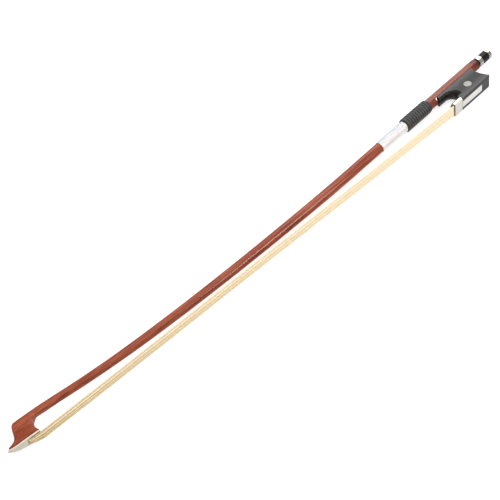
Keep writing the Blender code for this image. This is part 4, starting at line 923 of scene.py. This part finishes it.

# The rings take the darker silver: painted shade.
shaded_ring_silver = metals["filed_button_silver"]
button_piece("collar_ring", [
    (COLLAR_FRONT, RING_BORE, 1), (COLLAR_FRONT, BUTTON_HALF - BEVEL, 0),
    (COLLAR_FRONT + FINE, BUTTON_HALF - FINE, 0), (COLLAR_FRONT + BEVEL, BUTTON_HALF, 0),
    (CORE_FRONT - GAP - FINE, BUTTON_HALF, 0), (CORE_FRONT - GAP, BUTTON_HALF - FINE, 0),
    (CORE_FRONT - GAP, RING_BORE, 1)], shaded_ring_silver, "button_collar")
button_piece("ebony_barrel", [
    (SPIGOT_START, SPIGOT, 1), (SPIGOT_START, SCREW_HOLE, 1), (SPIGOT_END, SCREW_HOLE, 1),
    (SPIGOT_END, SPIGOT, 1), (CAP_FRONT, SPIGOT, 1), (CAP_FRONT, EBONY_EDGE, 0),
    (CAP_FRONT - FINE, EBONY_HALF, 0), (CORE_FRONT + FINE, EBONY_HALF, 0),
    (CORE_FRONT, EBONY_EDGE, 0), (CORE_FRONT, SPIGOT, 1)],
    ebonies["lathe_turned_ebony"], "button_core")
# The cap's last three rows are the rim and the slope and middle of its dish.
button_piece("cap_ring", [
    (BUTTON_END - 1.0, RING_BORE, 1), (CAP_FRONT + GAP, RING_BORE, 1),
    (CAP_FRONT + GAP, BUTTON_HALF - FINE, 0), (CAP_FRONT + GAP + FINE, BUTTON_HALF, 0),
    (BUTTON_END - BEVEL, BUTTON_HALF, 0), (BUTTON_END - FINE, BUTTON_HALF - FINE, 0),
    (BUTTON_END, BUTTON_HALF - BEVEL, 0), (BUTTON_END, 2.9, 1), (BUTTON_END - 0.12, 2.3, 1),
    (BUTTON_END - 0.16, 0.4, 1)], shaded_ring_silver, "button_cap", closed_along=False)
print("the button is", round(BUTTON_END - COLLAR_FRONT, 1), "mm long")

# %% [markdown]
# ## The room
#
# The photograph was taken on a white ground under large soft lights, and the shadow is so faint that
# the ground reads as pure white. The floor is a pale sheet a hair under the bow that glows a little,
# and the sky is white. A window light stands behind to the right, a wide one hangs overhead, and a
# low one fills from the front. A narrow warm strip in front lights only what is glossy: it makes the
# thin bright line along the stick.

# %% Floor and sky
REACH = 6.0  # from the middle to the floor's edges, in metres
FLOOR_LEVEL = -0.2 * MM
floor_mesh = bpy.data.meshes.new("pale_floor")
floor_mesh.from_pydata([(x, y, FLOOR_LEVEL) for x, y in
                        ((-REACH, -REACH), (REACH, -REACH), (REACH, REACH), (-REACH, REACH))],
                       [], [(0, 1, 2, 3)])
paper, tree, _ = blank("pale_paper_ground")
shader = node(tree, "ShaderNodeBsdfPrincipled", Base_Color=linear("#b8b8b8"), Roughness=0.9,
              Specular_IOR_Level=0.1, Emission_Color=linear("#ffffff"), Emission_Strength=0.74)
node(tree, "ShaderNodeOutputMaterial", {"Surface": shader.outputs[0]})
floor_mesh.materials.append(paper)
floor = bpy.data.objects.new("pale_floor", floor_mesh)
scene.collection.objects.link(floor)
floor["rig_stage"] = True

world = bpy.data.worlds.new("white_room")
world.use_nodes = True
sky = world.node_tree.nodes["Background"].inputs
sky["Color"].default_value, sky["Strength"].default_value = linear("#ffffff"), 0.42
scene.world = world
print("floor", 2 * REACH, "m wide, sky strength", round(sky["Strength"].default_value, 2))

# %% Lights


def soft_light(name, place, target, width, depth, power):
    """A rectangular area light at a place, aimed at a target, both in metres, with its power in watts."""
    data = bpy.data.lights.new(name, "AREA")
    data.shape = "RECTANGLE"
    data.energy, data.size, data.size_y = power, width, depth
    made = bpy.data.objects.new(name, data)
    made.location = place
    made.rotation_euler = (Vector(target) - Vector(place)).to_track_quat("-Z", "Y").to_euler()
    scene.collection.objects.link(made)
    return made


soft_light("window_light", (0.95, 0.85, 1.2), (0.15, 0, 0), 1.1, 0.5, 19)
soft_light("overhead_light", (0.0, -0.45, 1.4), (0, 0, 0), 1.6, 1.2, 13)
soft_light("front_light", (0.8, -1.3, 0.22), (0.1, 0, 0), 1.0, 0.35, 4.4)
edge_strip = soft_light("edge_strip", (0.5, -0.98, 0.69), (0, 0, 0), 0.46, 0.07, 9)
edge_strip.visible_diffuse = False
edge_strip.data.color = (1.0, 0.78, 0.68)

# %% [markdown]
# ## The camera
#
# The photograph was taken from the head end, above and in front. The place and the directions below
# were fitted to a dozen points of the bow that can be found in it, and the place is written in the
# bow's plan. A focal length of 90 mm gives the photograph's mild perspective.

# %% Stand where the photograph was taken
lens = bpy.data.cameras.new("photo_camera")
lens.sensor_width = 36
lens.lens = 90
lens.clip_start = 0.01
right = Vector((0.739, -0.6609, -0.1306)).normalized()
forward = Vector((0.3491, 0.5414, -0.7648)).normalized()
right = (right - forward * right.dot(forward)).normalized()
turn = Matrix((right, right.cross(forward), -forward)).transposed().to_4x4()
camera = bpy.data.objects.new("photo_camera", lens)
camera.matrix_world = Matrix.Translation(Vector(from_plan(-92.8, -473.9, 691.0))) @ turn
scene.collection.objects.link(camera)
scene.camera = camera
print("camera stands", round(camera.location.length, 3), "m from the middle of the bow")

# %% [markdown]
# ## The last measure
#
# The finish must not change the bow's size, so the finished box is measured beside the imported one.

# %% Measure the finished bow and close
scene.view_settings.view_transform = "Standard"
finished_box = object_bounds()
for title, box in (("packed", cad_box), ("finished", finished_box)):
    print(title, "box in mm:", [round((high - low) / MM, 2) for low, high in zip(*box)])
